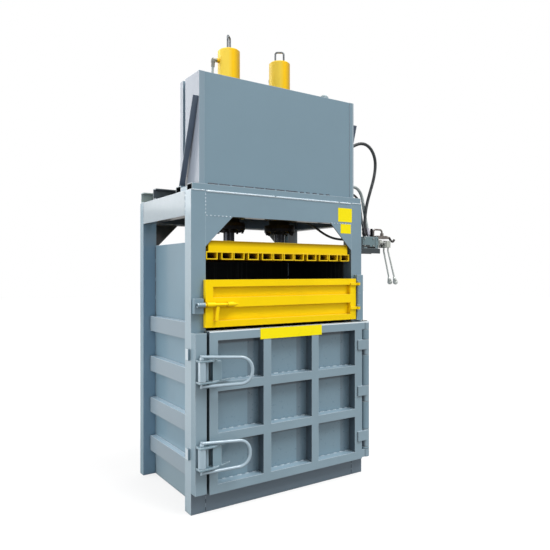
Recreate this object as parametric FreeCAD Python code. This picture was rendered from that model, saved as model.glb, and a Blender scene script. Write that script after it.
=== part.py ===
"""Vertical double-cylinder recycling baler, in millimetres, +Z up, front towards -Y.

The origin is on the floor, at the centre of the frame's footprint. Places along Y are
given as a distance behind the front plane of the posts and turned into Y by depth().
"""
import FreeCAD, Part
import math
import os
from FreeCAD import Vector

# ---- frame ---------------------------------------------------------------
FRAME_WIDTH = 1400.0
FRAME_DEPTH = 890.0
FRAME_HEIGHT = 2014.0
POST_WIDTH = 100.0
FRONT_POST_DEPTH = 88.0
REAR_POST_DEPTH = 65.0
POST_WALL = 6.0
BEAM_HEIGHT = 156.0
BEAM_WEB = 8.0
BEAM_FLANGE = 65.0
BEAM_TOP_STEP = 6.0
GUSSET_LEG = 195.0
GUSSET_THICKNESS = 8.0
SILL_HEIGHT = 118.0
SILL_DEPTH = 80.0
FLOOR_THICKNESS = 10.0
JOIST_WIDTH = 80.0
JOIST_SPACING = 380.0

# ---- chamber walls -------------------------------------------------------
WALL_SHEET = 6.0
WALL_BELOW_TOP = 314.0
RIB_HEIGHT = 109.0
RIB_DEPTH = 42.0
RIB_SHEET = 5.0
RIB_BOTTOMS = (181.0, 466.0, 771.0, 1067.0)

# ---- top crossbeams and tank base ----------------------------------------
BASE_TUBE_HEIGHT = 42.0
BASE_TUBE_DEPTH = 77.0
BASE_TUBE_WALL = 5.0
BASE_TUBE_SHORTER = 8.0
REAR_BASE_TUBE_AT = 170.0
CROSSBEAM_HEIGHT = 76.0
CROSSBEAM_WEB = 8.0
CROSSBEAM_FLANGE = 55.0
CROSSBEAM_TO_BACK = 71.0
CYLINDER_TO_FRONT_BEAM = 85.0
CYLINDER_TO_MIDDLE_BEAM = 185.0
FRONT_CROSSBEAM_INSET = 50.0

# ---- oil tank ------------------------------------------------------------
TANK_SIDE_INSET = 63.0
TANK_HEIGHT = 710.0
TANK_FRONT_AT = 16.0
TANK_DEPTH = 286.0
TANK_SHEET = 4.0
TANK_STRIP_WIDTH = 37.0
TANK_STRIP_PROUD = 3.0
TANK_SLIT_AT = 206.0
TANK_SLIT_WIDTH = 36.0
TANK_SLIT_DEEP = 22.0
FILLER_RADIUS = 24.0
FILLER_INSET = 175.0
FILLER_AT = 150.0
BREATHER_RADIUS = 33.0
BREATHER_HEIGHT = 62.0
BREATHER_FLANGE = 8.0
BREATHER_STEM = 14.0
BREATHER_CHAMFER = 11.0
BASE_BLOCK_WIDTH = 52.0
BASE_BLOCK_HEIGHT = 28.0
BRACE_FLANGE = 38.0
BRACE_THICKNESS = 6.0
BRACE_BELOW_TOP = 160.0
BRACE_TOP_AT = 22.0
BRACE_FOOT_AT = 200.0
BRACE_LEAN = 15.0

# ---- cylinders -----------------------------------------------------------
CYLINDER_INSET = 480.0
CYLINDER_AT = 391.0
BARREL_RADIUS = 80.0
BARREL_WALL = 12.0
BARREL_BELOW_FRAME = 184.0
BARREL_CAP = 24.0
CAP_CHAMFER = 7.0
COLLAR_RADIUS = 116.0
COLLAR_THICKNESS = 25.0
MOUNT_PLATE_THICKNESS = 25.0
MOUNT_PLATE_OVERHANG = 180.0
GLAND_RADIUS = 116.0
GLAND_THICKNESS = 25.0
GLAND_NOSE_RADIUS = 56.0
GLAND_NOSE_LENGTH = 18.0
ROD_RADIUS = 40.0
ROD_RUNNING_GAP = 0.06
PISTON_LENGTH = 60.0
PISTON_RESERVE = 100.0
PISTON_TOP_GAP = 61.0
GLAND_BOLTS = 8
GLAND_BOLT_CIRCLE = 98.0
GLAND_BOLT_RADIUS = 8.0
GLAND_BOLT_HEAD = 13.0
GLAND_BOLT_HEAD_LENGTH = 13.0
GLAND_BOLT_TAIL = 10.0
EYE_WIDTH = 78.0
EYE_HEIGHTS = (112.0, 92.0)
EYE_WIRE = 7.0
EYE_BEND = 16.0
EYE_TURNS = (46.0, -33.0)
PORT_REACH = 20.0
PORT_BELOW_TOP = 85.0
PORT_RADIUS = 15.0
CROSS_PIPE_RADIUS = 9.0
CROSS_PIPE_NUT_RADIUS = 17.0
LOWER_PORT_ABOVE_BOTTOM = 75.0

# ---- platen --------------------------------------------------------------
PLATEN_SIDE_CLEARANCE = 10.0
PLATEN_AT = 12.0
PLATEN_BACK_CLEARANCE = 19.0
PLATEN_BELOW_BARREL = 248.0
CHANNEL_HEIGHT = 44.0
CHANNEL_SHEET = 6.0
CHANNEL_PAIR_GAP = 7.0
STRAP_SLOT = 28.5
CHANNEL_COUNTS = (1, 2, 1, 4, 1, 2, 1)
DECK_THICKNESS = 7.0
PLATEN_FRAME_AT = 14.0
PLATEN_FRAME_BACK_INSET = 48.0
PLATEN_FRAME_INSET = 17.0
PLATEN_FRAME_HEIGHT = 70.0
PLATEN_FRAME_SHEET = 10.0
ROD_PAD = 200.0
ROD_PAD_THICKNESS = 20.0
PLATEN_STROKE = 1050.0

# ---- main door -----------------------------------------------------------
DOOR_LEFT_INSET = 96.0
DOOR_RIGHT_INSET = 50.0
DOOR_BOTTOM = 125.0
DOOR_FRONT_AT = -63.0
DOOR_POST_GAP = 3.0
DOOR_RAIL = 58.0
DOOR_ROWS = 3
DOOR_ROW_HEIGHT = 259.0
DOOR_COLUMNS = 3
DOOR_LEFT_STILE = 58.0
DOOR_RIGHT_STILE = 69.0
DOOR_RIB = 59.0
DOOR_SECTION_SHEET = 5.0
DOOR_SKIN = 4.0
DOOR_SKIN_FRONT_AT = 4.0
DOOR_SIDE_GAP = 8.0
DOOR_PLATE_LEFT = -235.0
DOOR_PLATE_RIGHT = 271.0
DOOR_PLATE_HEIGHT = 70.0
DOOR_PLATE_THICKNESS = 2.5

# ---- door hinge ----------------------------------------------------------
HINGE_TUBE_RADIUS = 34.0
HINGE_INSET = 2.0
HINGE_PIN_RADIUS = 15.0
HINGE_RUNNING_GAP = 0.06
HINGE_BOTTOM = 134.0
HINGE_TOP = 1138.0
HINGE_KNUCKLES = ((206.0, 340.0), (540.0, 664.0), (888.0, 1005.0))
HINGE_BEARING = 14.0
HINGE_KNUCKLE_GAP = 3.0
HINGE_END_GAP = 0.6
HINGE_HEAD = 6.0
HINGE_SEAT = 24.0
HINGE_SEAT_BITE = 19.0
LUG_HEIGHT = 72.0
LUG_BOTTOMS = (258.0, 591.0, 931.0)
LUG_THICKNESS = 9.0
LUG_LENGTH = 92.0

# ---- door latches --------------------------------------------------------
JAMB_WIDTH = 76.0
JAMB_FOOT_GAP = 11.0
JAMB_HEAD_GAP = 9.0
LATCH_PLATE = 11.0
LATCH_PLATE_INSET = 2.0
LATCH_PLATE_DEPTH = 54.0
LATCH_JAMB_GAP = 3.0
LATCH_GAP = 120.0
LATCH_TIP_REACH = 141.0
LATCH_SHORT_TIP_REACH = 79.0
LATCH_BLOCK_INSET = 4.0
LATCH_WELD_LENGTH = 6.0
LATCH_TIP_THICKNESS = 4.0
LATCH_BLOCK_WIDTH = 58.0
LATCH_BLOCK_DEPTH = 40.0
LATCH_LEVELS = (("upper", 896.0, -20.0), ("lower", 372.0, -10.0))
PIVOT_INSET = 29.0
PIVOT_AT = -92.0
PIVOT_RADIUS = 9.0
CAM_RADIUS = 25.0
CAM_OFFSET = 1.5
BOSS_RADIUS = 14.0
KEEPER_INSET = 60.0
KEEPER_WIDTH = 14.0
KEEPER_DEPTH = 30.0
HANDLE_RADIUS = 10.5
HANDLE_REACH = 313.0
HANDLE_PIN_GAP = 181.0
HANDLE_BEND_GAP = 158.0
HANDLE_BEND_SHARE = 0.96
SIDE_LUG_HEIGHT = 70.0
SIDE_LUG_WIDTH = 38.0
SIDE_LUG_PROUD = 17.0
SIDE_LUG_AT = 7.0
SIDE_LUG_BOTTOMS = (956.0, 341.0)

# ---- feed gate -----------------------------------------------------------
GATE_LEFT_INSET = 83.0
GATE_RIGHT_INSET = 84.0
GATE_BOTTOM = 1155.0
GATE_HEIGHT = 299.0
GATE_FRONT_AT = -35.0
GATE_POST_GAP = 3.0
GATE_SHEET = 4.0
GATE_TOP_RAIL = 45.0
GATE_MID_RAIL = 62.0
GATE_MID_RAIL_BOTTOM = 1279.0
GATE_BOTTOM_RAIL = 41.0
GATE_STILE = 53.0
GATE_HINGE_INSET = 70.0
GATE_HINGE_AT = -48.0
GATE_KNUCKLE_RADIUS = 12.0
GATE_PIN_RADIUS = 6.0
GATE_HINGE_BLOCK_WIDTH = 59.0
GATE_HINGE_BLOCK_INSET = 15.0
GATE_HINGE_BLOCK_BOTTOM = 1146.0
GATE_HINGE_BLOCK_TOP = 1482.0
GATE_LUG_BOTTOMS = (1228.0, 1405.0)
GATE_LUG_HEIGHT = 20.0
GATE_LUG_THICKNESS = 10.0
GATE_LUG_REACH = 70.0
GATE_EAR = 9.0
GATE_EAR_HEIGHT = 12.0
GATE_BOLT_HEAD_INSET = 53.0
GATE_BOLT_HEAD_Z = 1340.0

# ---- feed gate bolt ------------------------------------------------------
BOLT_Z = 1298.0
BOLT_RADIUS = 10.0
BOLT_SLIDING_GAP = 0.8
BOLT_TUBE_RADIUS = 16.0
WELD_SEAT = 1.0
BOLT_TIP_PROUD = 12.0
BOLT_TAIL_REACH = 222.0
BOLT_CONE_LENGTH = 26.0
BOLT_CONE_TIP_RADIUS = 3.0
GUIDE_RANGES = ((1.0, 57.0), (146.0, 186.0))
SOCKET_INSET = 17.0
SOCKET_LENGTH = 52.0
KEEPER_BLOCK_INSET = 7.0
KEEPER_BLOCK_WIDTH = 62.0
KEEPER_BLOCK_BOTTOM = 1244.0
KEEPER_BLOCK_TOP = 1338.0
BOLT_LEVER_REACH = 79.0
BOLT_LEVER_LEAN = 10.0
BOLT_LEVER_THICKNESS = 8.0
BOLT_LEVER_WIDTH = 20.0
BOLT_LEVER_LENGTH = 108.0

# ---- hydraulic valve -----------------------------------------------------
VALVE_AT = 62.0
BRACKET_LENGTH = 250.0
BRACKET_OVERHANG = 4.0
BRACKET_SHEET = 6.0
BRACKET_HEIGHT = 40.0
BRACKET_BELOW_TOP = 326.0
VALVE_FROM_POST = 75.0
VALVE_BODY_WIDTH = 170.0
VALVE_SECTIONS = 2
VALVE_SECTION = 48.0
VALVE_BODY_HEIGHT = 78.0
VALVE_FOOT_HEIGHT = 12.0
VALVE_FOOT_WIDTH = 30.0
VALVE_STEP = 12.0
VALVE_SECTION_GROOVE = 3.0
SPOOL_RADIUS = 11.0
SPOOL_CAP_RADIUS = 19.0
SPOOL_CAP_LENGTH = 72.0
SPOOL_COLLAR_LENGTH = 40.0
LEVER_PIVOT_FROM_YOKE = 47.0
LEVER_PIVOT_ABOVE_BRACKET = 24.0
LEVER_RADIUS = 7.0
LEVER_DROP = 290.0
LEVER_LEANS = (82.0, 68.0)
LEVER_BALL_RADIUS = 20.0
LEVER_PIVOT_RADIUS = 5.0
LEVER_HUB_RADIUS = 12.0
LEVER_NECK = 40.0
YOKE_SHEET = 5.0
YOKE_HALF_GAP = 9.0
YOKE_OVERHANG = 14.0
RELIEF_LENGTH = 103.0
RELIEF_WIDTH = 40.0
RELIEF_HEIGHT = 24.0
CARTRIDGE_LENGTH = 40.0
CARTRIDGE_NUT_LENGTH = 22.0
CARTRIDGE_RADIUS = 9.0
GRIP_POINTS = ((20.0, -24.0), (42.0, -32.0), (57.0, -14.0))
GRIP_BEND = 14.0
GRIP_RADIUS = 9.0
PIPE_IN = 27.0
PIPE_RISE = 60.0
PIPE_RADIUS = 7.0
FERRULE_SLEEVE = 4.0
FERRULE_LENGTH = 52.0
FERRULE_NUT = 3.0
FERRULE_NUT_LENGTH = 18.0
HOSE_RADIUS = 9.0
THICK_HOSE_RADIUS = 12.0
THICK_HOSES = ("hose_arch", "hose_upper")

# A hose's bows: how far its inner points lie off evenly spaced points of the straight line
# between the elbows of its two end fittings, as X, distance back and Z.
ARCH_BOWS = ((83, -11, 119), (131, -14, 196), (178, -14, 242), (208, -12, 259), (218, -10, 257),
             (203, -8, 242), (168, -6, 213), (116, -4, 177), (65, -2, 139), (24, -1, 93))
UPPER_BOWS = ((68, 8, 56), (81, 14, 89), (86, 22, 100), (68, 25, 93), (48, 26, 75), (24, 16, 52))
LOWER_BOWS = ((81, 14, 48), (105, 26, 71), (113, 38, 73), (96, 45, 65), (59, 29, 47),
              (28, 15, 33))
CROSS_BOWS = ((39, 25, 14), (38, 31, 24), (26, 29, 5), (16, 30, -16), (16, 32, -27),
              (6, 30, -20), (-8, 20, -4))
LEFT_BOWS = ((-7, 2, -13), (-12, 7, -17), (-17, 11, -40), (-19, 12, -63), (-14, 9, -56),
             (-6, 4, -10))
RIGHT_BOWS = ((1, 8, -13), (4, 15, -17), (7, 21, -40), (8, 21, -63), (5, 15, -56), (1, 5, -10))
STUB_GAP = 1.0
PORT_STUB = 26.0
CYLINDER_HOSE_FOOT = 6.0
TANK_PORTS = ((140.0, 418.0), (130.0, 150.0), (158.0, 96.0))
VALVE_PORTS = ((64.0, 56.0), (106.0, 56.0), (31.0, 20.0))
VALVE_SIDE_PORT = 72.0

FRONT_Y = -FRAME_DEPTH / 2
HALF_WIDTH = FRAME_WIDTH / 2
INNER_X = HALF_WIDTH - POST_WIDTH
WALL_HEIGHT = FRAME_HEIGHT - WALL_BELOW_TOP
CYLINDER_X = HALF_WIDTH - CYLINDER_INSET
BARREL_BOTTOM_Z = FRAME_HEIGHT - BARREL_BELOW_FRAME
PISTON_Z = BARREL_BOTTOM_Z + PLATEN_STROKE + PISTON_RESERVE
BARREL_TOP_Z = PISTON_Z + PISTON_LENGTH / 2 + PISTON_TOP_GAP + BARREL_CAP
PORT_Z = BARREL_TOP_Z - PORT_BELOW_TOP
LOWER_PORT_Z = BARREL_BOTTOM_Z + LOWER_PORT_ABOVE_BOTTOM
FRONT_CROSSBEAM_BACK = CYLINDER_AT - CYLINDER_TO_FRONT_BEAM
MIDDLE_CROSSBEAM_AT = CYLINDER_AT + CYLINDER_TO_MIDDLE_BEAM
REAR_CROSSBEAM_AT = FRAME_DEPTH - CROSSBEAM_TO_BACK
BEAM_BOTTOM = FRAME_HEIGHT - BEAM_HEIGHT
CHAMBER_REAR_AT = FRAME_DEPTH - REAR_POST_DEPTH
TANK_BOTTOM_Z = FRAME_HEIGHT + BASE_TUBE_HEIGHT
TANK_TOP_Z = TANK_BOTTOM_Z + TANK_HEIGHT
TANK_REAR_AT = TANK_FRONT_AT + TANK_DEPTH
TANK_HALF = HALF_WIDTH - TANK_SIDE_INSET
FILLER_X = TANK_HALF - FILLER_INSET
BRACE_TOP_Z = TANK_TOP_Z - BRACE_BELOW_TOP
PLATEN_HALF = INNER_X - PLATEN_SIDE_CLEARANCE
PLATEN_BOTTOM_Z = BARREL_BOTTOM_Z - PLATEN_BELOW_BARREL
CHANNEL_TOP_Z = PLATEN_BOTTOM_Z + CHANNEL_HEIGHT
DECK_TOP_Z = CHANNEL_TOP_Z + DECK_THICKNESS
PLATEN_TOP_Z = DECK_TOP_Z + PLATEN_FRAME_HEIGHT
DOOR_LEFT = DOOR_LEFT_INSET - HALF_WIDTH
DOOR_RIGHT = HALF_WIDTH - DOOR_RIGHT_INSET
HINGE_X = HALF_WIDTH - HINGE_INSET
HINGE_AT = -DOOR_POST_GAP - HINGE_TUBE_RADIUS
DOOR_TOP = DOOR_BOTTOM + DOOR_RAIL * (DOOR_ROWS + 1) + DOOR_ROW_HEIGHT * DOOR_ROWS
HINGE_FOOT = (HINGE_BOTTOM, HINGE_KNUCKLES[0][0] - HINGE_BEARING)
HINGE_CROWN = (DOOR_TOP - DOOR_RAIL, HINGE_TOP)
PIVOT_X = PIVOT_INSET - HALF_WIDTH
GATE_LEFT = GATE_LEFT_INSET - HALF_WIDTH
GATE_RIGHT = HALF_WIDTH - GATE_RIGHT_INSET
JAMB_BOTTOM = DOOR_BOTTOM + JAMB_FOOT_GAP
JAMB_TOP = DOOR_TOP - JAMB_HEAD_GAP
GATE_TOP = GATE_BOTTOM + GATE_HEIGHT
GATE_HINGE_X = HALF_WIDTH - GATE_HINGE_INSET
BOLT_AT = GATE_FRONT_AT - BOLT_TUBE_RADIUS + WELD_SEAT
SOCKET_LEFT = SOCKET_INSET - HALF_WIDTH
KEEPER_BLOCK_LEFT = KEEPER_BLOCK_INSET - HALF_WIDTH
KEEPER_BLOCK_RIGHT = KEEPER_BLOCK_LEFT + KEEPER_BLOCK_WIDTH
BRACKET_TOP_Z = FRAME_HEIGHT - BRACKET_BELOW_TOP
VALVE_LEFT = HALF_WIDTH + VALVE_FROM_POST
VALVE_TOP_Z = BRACKET_TOP_Z + VALVE_FOOT_HEIGHT + VALVE_BODY_HEIGHT
STUB = HOSE_RADIUS + FERRULE_SLEEVE + STUB_GAP
THICK_STUB = THICK_HOSE_RADIUS + FERRULE_SLEEVE + STUB_GAP
SPOOL_Z = VALVE_TOP_Z - VALVE_BODY_HEIGHT / 2
YOKE_X = VALVE_LEFT + VALVE_BODY_WIDTH + SPOOL_CAP_LENGTH
LEVER_PIVOT_X = YOKE_X + LEVER_PIVOT_FROM_YOKE
LEVER_PIVOT_Z = BRACKET_TOP_Z + LEVER_PIVOT_ABOVE_BRACKET
UP = Vector(0, 0, 1)
ALONG_X = Vector(1, 0, 0)
ALONG_Y = Vector(0, 1, 0)


def depth(distance):
    """Y of a plane that lies this far behind the posts' front plane."""
    return FRONT_Y + distance


def box(x0, x1, at0, at1, z0, z1):
    """A block between two X, two depths behind the front plane and two Z."""
    corner = Vector(x0, depth(at0), z0)
    return Part.makeBox(x1 - x0, at1 - at0, z1 - z0, corner)


def rod(radius, length, start, direction):
    return Part.makeCylinder(radius, length, start, direction)


def tube(outer, inner, length, start, direction):
    return rod(outer, length, start, direction).cut(rod(inner, length, start, direction))


def join(shapes):
    shapes = list(shapes)
    whole = shapes[0] if len(shapes) == 1 else shapes[0].multiFuse(shapes[1:])
    return whole.removeSplitter()


def mirrored(shape):
    """The same piece on the other side of the machine."""
    return shape.mirror(Vector(0, 0, 0), ALONG_X)


def slab_xz(points, at0, thickness):
    """A plate parallel to the front, its outline given as X and Z."""
    outline = [Vector(x, depth(at0), z) for x, z in points]
    face = Part.Face(Part.makePolygon(outline + outline[:1]))
    return face.extrude(Vector(0, thickness, 0))


def slab_xy(points, z0, thickness):
    """A level plate, its outline given as X and depth behind the front plane."""
    outline = [Vector(x, depth(at), z0) for x, at in points]
    face = Part.Face(Part.makePolygon(outline + outline[:1]))
    return face.extrude(Vector(0, 0, thickness))


def slab_yz(points, x0, thickness):
    """A plate parallel to the sides, its outline given as depth and Z."""
    outline = [Vector(x0, depth(at), z) for at, z in points]
    face = Part.Face(Part.makePolygon(outline + outline[:1]))
    return face.extrude(Vector(thickness, 0, 0))


def bent_rod(points, radii, radius):
    """A round bar along straight runs joined by tangent arcs."""
    edges = []
    start = points[0]
    for before, corner, after, bend in zip(points, points[1:], points[2:], radii):
        arrive = (corner - before).normalize()
        leave = (after - corner).normalize()
        turn = arrive.getAngle(leave)
        setback = bend * math.tan(turn / 2)
        arc_start = corner - arrive * setback
        arc_end = corner + leave * setback
        middle_way = (leave - arrive).normalize()
        centre = corner + middle_way * (bend / math.cos(turn / 2))
        arc_middle = centre - middle_way * bend
        if (arc_start - start).Length > 1e-6:
            edges.append(Part.LineSegment(start, arc_start).toShape())
        edges.append(Part.Arc(arc_start, arc_middle, arc_end).toShape())
        start = arc_end
    edges.append(Part.LineSegment(start, points[-1]).toShape())
    path = Part.Wire(edges)
    heading = (points[1] - points[0]).normalize()
    profile = Part.Wire([Part.makeCircle(radius, points[0], heading)])
    return path.makePipeShell([profile], True, False), path.Length


def hose_radii(points):
    """Each arc's radius: 0.45 of the shorter run over the tangent of half the turn."""
    radii = []
    for before, corner, after in zip(points, points[1:], points[2:]):
        turn = (corner - before).getAngle(after - corner)
        shorter = min((corner - before).Length, (after - corner).Length)
        radii.append(0.45 * shorter / math.tan(turn / 2))
    return radii


def tank_elbow(port, stub):
    """The elbow of a fitting on the tank's right side: depth and height above the frame."""
    at, above = port
    return Vector(TANK_HALF + stub, depth(at), FRAME_HEIGHT + above)


def valve_elbow(port, stub):
    """The elbow of a fitting on the valve's top, from the valve's front left corner."""
    x, at = port
    return Vector(VALVE_LEFT + x, depth(VALVE_AT + at), VALVE_TOP_Z + stub)


def hose_runs():
    """Each hose's name, its two elbows, its bows and the way from each elbow to its port."""
    port_out = BARREL_RADIUS + PORT_REACH
    left = cylinder_axis(-CYLINDER_X, PORT_Z)
    right = cylinder_axis(CYLINDER_X, PORT_Z)
    foot_drop = UP * (PORT_Z - FRAME_HEIGHT - MOUNT_PLATE_THICKNESS - STUB)
    side = port_out + PORT_STUB
    foot = side + CYLINDER_HOSE_FOOT
    lower_port = cylinder_axis(CYLINDER_X, LOWER_PORT_Z) + ALONG_X * (port_out + STUB)
    valve_side = Vector(VALVE_LEFT - STUB, depth(VALVE_AT + VALVE_SIDE_PORT), SPOOL_Z)
    runs = []
    for name, tank, valve, bows, stub in zip(("hose_arch", "hose_upper", "hose_lower"),
                                             TANK_PORTS, VALVE_PORTS,
                                             (ARCH_BOWS, UPPER_BOWS, LOWER_BOWS),
                                             (THICK_STUB, THICK_STUB, STUB)):
        runs.append((name, tank_elbow(tank, stub), valve_elbow(valve, stub), bows,
                     -ALONG_X * stub, -UP * stub))
    runs.append(("hose_cross", lower_port, valve_side, CROSS_BOWS, -ALONG_X * STUB,
                 ALONG_X * STUB))
    runs.append(("hose_cylinder_left", left - ALONG_X * side, left - ALONG_X * foot - foot_drop,
                 LEFT_BOWS, ALONG_X * PORT_STUB, -UP * STUB))
    runs.append(("hose_cylinder_right", right + ALONG_Y * side, right + ALONG_Y * foot - foot_drop,
                 RIGHT_BOWS, -ALONG_Y * PORT_STUB, -UP * STUB))
    return runs


def hose_points(first, last, bows):
    """The tube's points: it starts and ends at the mouths of its two fittings."""
    count = len(bows) + 1
    points = [first]
    for number, bow in enumerate(bows):
        points.append(first + (last - first) * ((number + 1) / count) + Vector(*bow))
    points.append(last)
    first_way = (points[1] - points[0]).normalize()
    last_way = (points[-2] - points[-1]).normalize()
    points[0] = points[0] + first_way * FERRULE_LENGTH
    points[-1] = points[-1] + last_way * FERRULE_LENGTH
    return points


def hose(name, points, radius):
    """A hose as a tube along its hand-laid route, with its radii and volume printed."""
    radii = hose_radii(points)
    shape, length = bent_rod(points, radii, radius)
    expected = math.pi * radius ** 2 * length
    print(name, "length", round(length), "volume ratio", round(shape.Volume / expected, 4),
          "radii", [round(bend) for bend in radii])
    save(name, shape)


def hose_fitting(elbow, mouth, stub, hose_radius):
    """An elbow on its port: stub, knee, nut and the crimped ferrule up to the hose."""
    way = (mouth - elbow).normalize()
    stub_way = Vector(stub).normalize()
    radius = hose_radius + FERRULE_SLEEVE
    knee = Part.makeSphere(radius, elbow)
    leg = rod(radius - FERRULE_NUT, stub.Length, elbow, stub_way)
    nut = rod(radius + FERRULE_NUT, FERRULE_NUT_LENGTH, elbow + way * FERRULE_NUT, way)
    ferrule = rod(radius, FERRULE_LENGTH, elbow, way)
    return join([knee, leg, nut, ferrule])


def save(name, shape):
    """Write one node."""
    if not shape.isValid():
        print("NOT VALID", name)
    print(name, len(shape.Solids), "solid,", round(shape.Volume / 1e3), "cm3")
    shape.exportStep("parts/" + name + ".step")


# ---- frame ---------------------------------------------------------------

def post(depth_size, front_at):
    outer = box(-HALF_WIDTH, -INNER_X, front_at, front_at + depth_size, 0, FRAME_HEIGHT)
    inner = box(-HALF_WIDTH + POST_WALL, -INNER_X - POST_WALL, front_at + POST_WALL,
                front_at + depth_size - POST_WALL, 0, FRAME_HEIGHT - POST_WALL)
    return outer.cut(inner)


def side_lugs():
    """Two small blocks welded on the left post's outer face."""
    return [box(-HALF_WIDTH - SIDE_LUG_PROUD, -HALF_WIDTH, SIDE_LUG_AT,
                SIDE_LUG_AT + SIDE_LUG_WIDTH, bottom, bottom + SIDE_LUG_HEIGHT)
            for bottom in SIDE_LUG_BOTTOMS]


def portal_beam(web_at, inward):
    """A channel between two posts, its web outward, with a gusset plate at each end."""
    top = FRAME_HEIGHT - BEAM_TOP_STEP
    outer_at, inner_at = sorted((web_at, web_at + inward * BEAM_FLANGE))
    beam = box(-INNER_X, INNER_X, outer_at, inner_at, BEAM_BOTTOM, top)
    clear_at = sorted((web_at + inward * BEAM_WEB, web_at + inward * (BEAM_FLANGE + 1)))
    hollow = box(-INNER_X - 1, INNER_X + 1, clear_at[0], clear_at[1],
                 BEAM_BOTTOM + BEAM_WEB, top - BEAM_WEB)
    plate_at = min(web_at, web_at + inward * GUSSET_THICKNESS)
    corner = ((-INNER_X, BEAM_BOTTOM), (-INNER_X, BEAM_BOTTOM - GUSSET_LEG),
              (-INNER_X + GUSSET_LEG, BEAM_BOTTOM))
    gusset = slab_xz(corner, plate_at, GUSSET_THICKNESS)
    return join([beam.cut(hollow), gusset, mirrored(gusset)])


def side_beam():
    beam = box(-HALF_WIDTH, -HALF_WIDTH + BEAM_FLANGE, FRONT_POST_DEPTH, CHAMBER_REAR_AT,
               BEAM_BOTTOM, FRAME_HEIGHT)
    hollow = box(-HALF_WIDTH + BEAM_WEB, -HALF_WIDTH + BEAM_FLANGE + 1,
                 FRONT_POST_DEPTH - 1, CHAMBER_REAR_AT + 1,
                 BEAM_BOTTOM + BEAM_WEB, FRAME_HEIGHT - BEAM_WEB)
    return beam.cut(hollow)


def sill(web_at, inward, size):
    """A channel along the floor between two posts."""
    at0, at1 = sorted((web_at, web_at + inward * size))
    block = box(-INNER_X, INNER_X, at0, at1, 0, SILL_HEIGHT)
    clear = sorted((web_at + inward * BEAM_WEB, web_at + inward * (size + 1)))
    hollow = box(-INNER_X - 1, INNER_X + 1, clear[0], clear[1],
                 BEAM_WEB, SILL_HEIGHT - BEAM_WEB)
    return block.cut(hollow)


def chamber_floor():
    """The floor plate with the three joists welded under it."""
    plate = box(-INNER_X, INNER_X, SILL_DEPTH, CHAMBER_REAR_AT,
                SILL_HEIGHT - FLOOR_THICKNESS, SILL_HEIGHT)
    joists = []
    for place in (-1, 0, 1):
        middle = place * JOIST_SPACING
        joists.append(box(middle - JOIST_WIDTH / 2, middle + JOIST_WIDTH / 2, SILL_DEPTH,
                          CHAMBER_REAR_AT, 0, SILL_HEIGHT - FLOOR_THICKNESS))
    return join([plate] + joists)


def channel_rib(x0, x1, at0, at1, bottom, open_side):
    """A pressed channel rib, open towards the wall sheet that it is welded to."""
    outer = box(x0, x1, at0, at1, bottom, bottom + RIB_HEIGHT)
    sheet = RIB_SHEET
    if open_side == "+X":
        hollow = box(x0 + sheet, x1 + 1, at0 - 1, at1 + 1, bottom + sheet, bottom + RIB_HEIGHT - sheet)
    else:
        hollow = box(x0 - 1, x1 + 1, at0 - 1, at1 - sheet, bottom + sheet, bottom + RIB_HEIGHT - sheet)
    return outer.cut(hollow)


def side_wall():
    """The left wall sheet, flush with the posts' inner faces, and its four ribs."""
    sheet = box(-INNER_X - WALL_SHEET, -INNER_X, FRONT_POST_DEPTH,
                CHAMBER_REAR_AT - WALL_SHEET, 0, WALL_HEIGHT)
    ribs = [channel_rib(-INNER_X - WALL_SHEET - RIB_DEPTH, -INNER_X - WALL_SHEET,
                        FRONT_POST_DEPTH, CHAMBER_REAR_AT - WALL_SHEET, bottom, "+X")
            for bottom in RIB_BOTTOMS]
    return join([sheet] + ribs)


def rear_wall():
    sheet = box(-INNER_X - WALL_SHEET, INNER_X + WALL_SHEET,
                CHAMBER_REAR_AT - WALL_SHEET, CHAMBER_REAR_AT, SILL_HEIGHT, WALL_HEIGHT)
    ribs = [channel_rib(-INNER_X, INNER_X, CHAMBER_REAR_AT, CHAMBER_REAR_AT + RIB_DEPTH,
                        bottom, "-Y")
            for bottom in RIB_BOTTOMS]
    return join([sheet] + ribs)


def make_frame():
    front_post = post(FRONT_POST_DEPTH, 0)
    rear_post = post(REAR_POST_DEPTH, CHAMBER_REAR_AT)
    save("post_front_left", join([front_post] + side_lugs()))
    save("post_front_right", mirrored(front_post))
    save("post_rear_left", rear_post)
    save("post_rear_right", mirrored(rear_post))
    save("top_beam_front", portal_beam(0, 1))
    save("top_beam_rear", portal_beam(FRAME_DEPTH, -1))
    save("top_beam_left", side_beam())
    save("top_beam_right", mirrored(side_beam()))
    save("sill_front", sill(0, 1, SILL_DEPTH))
    save("sill_rear", sill(FRAME_DEPTH, -1, REAR_POST_DEPTH))
    save("chamber_floor", chamber_floor())
    save("side_wall_left", side_wall())
    save("side_wall_right", mirrored(side_wall()))
    save("rear_wall", rear_wall())


# ---- top crossbeams and oil tank -----------------------------------------

def crossbeam(width, height, web_at, inward):
    """A channel on top of the frame, its web upright and its flanges to one side."""
    top = FRAME_HEIGHT + height
    at0, at1 = sorted((web_at, web_at + inward * CROSSBEAM_FLANGE))
    block = box(-width / 2, width / 2, at0, at1, FRAME_HEIGHT, top)
    clear = sorted((web_at + inward * CROSSBEAM_WEB, web_at + inward * (CROSSBEAM_FLANGE + 1)))
    hollow = box(-width / 2 - 1, width / 2 + 1, clear[0], clear[1],
                 FRAME_HEIGHT + CROSSBEAM_WEB, top - CROSSBEAM_WEB)
    return block.cut(hollow)


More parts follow.
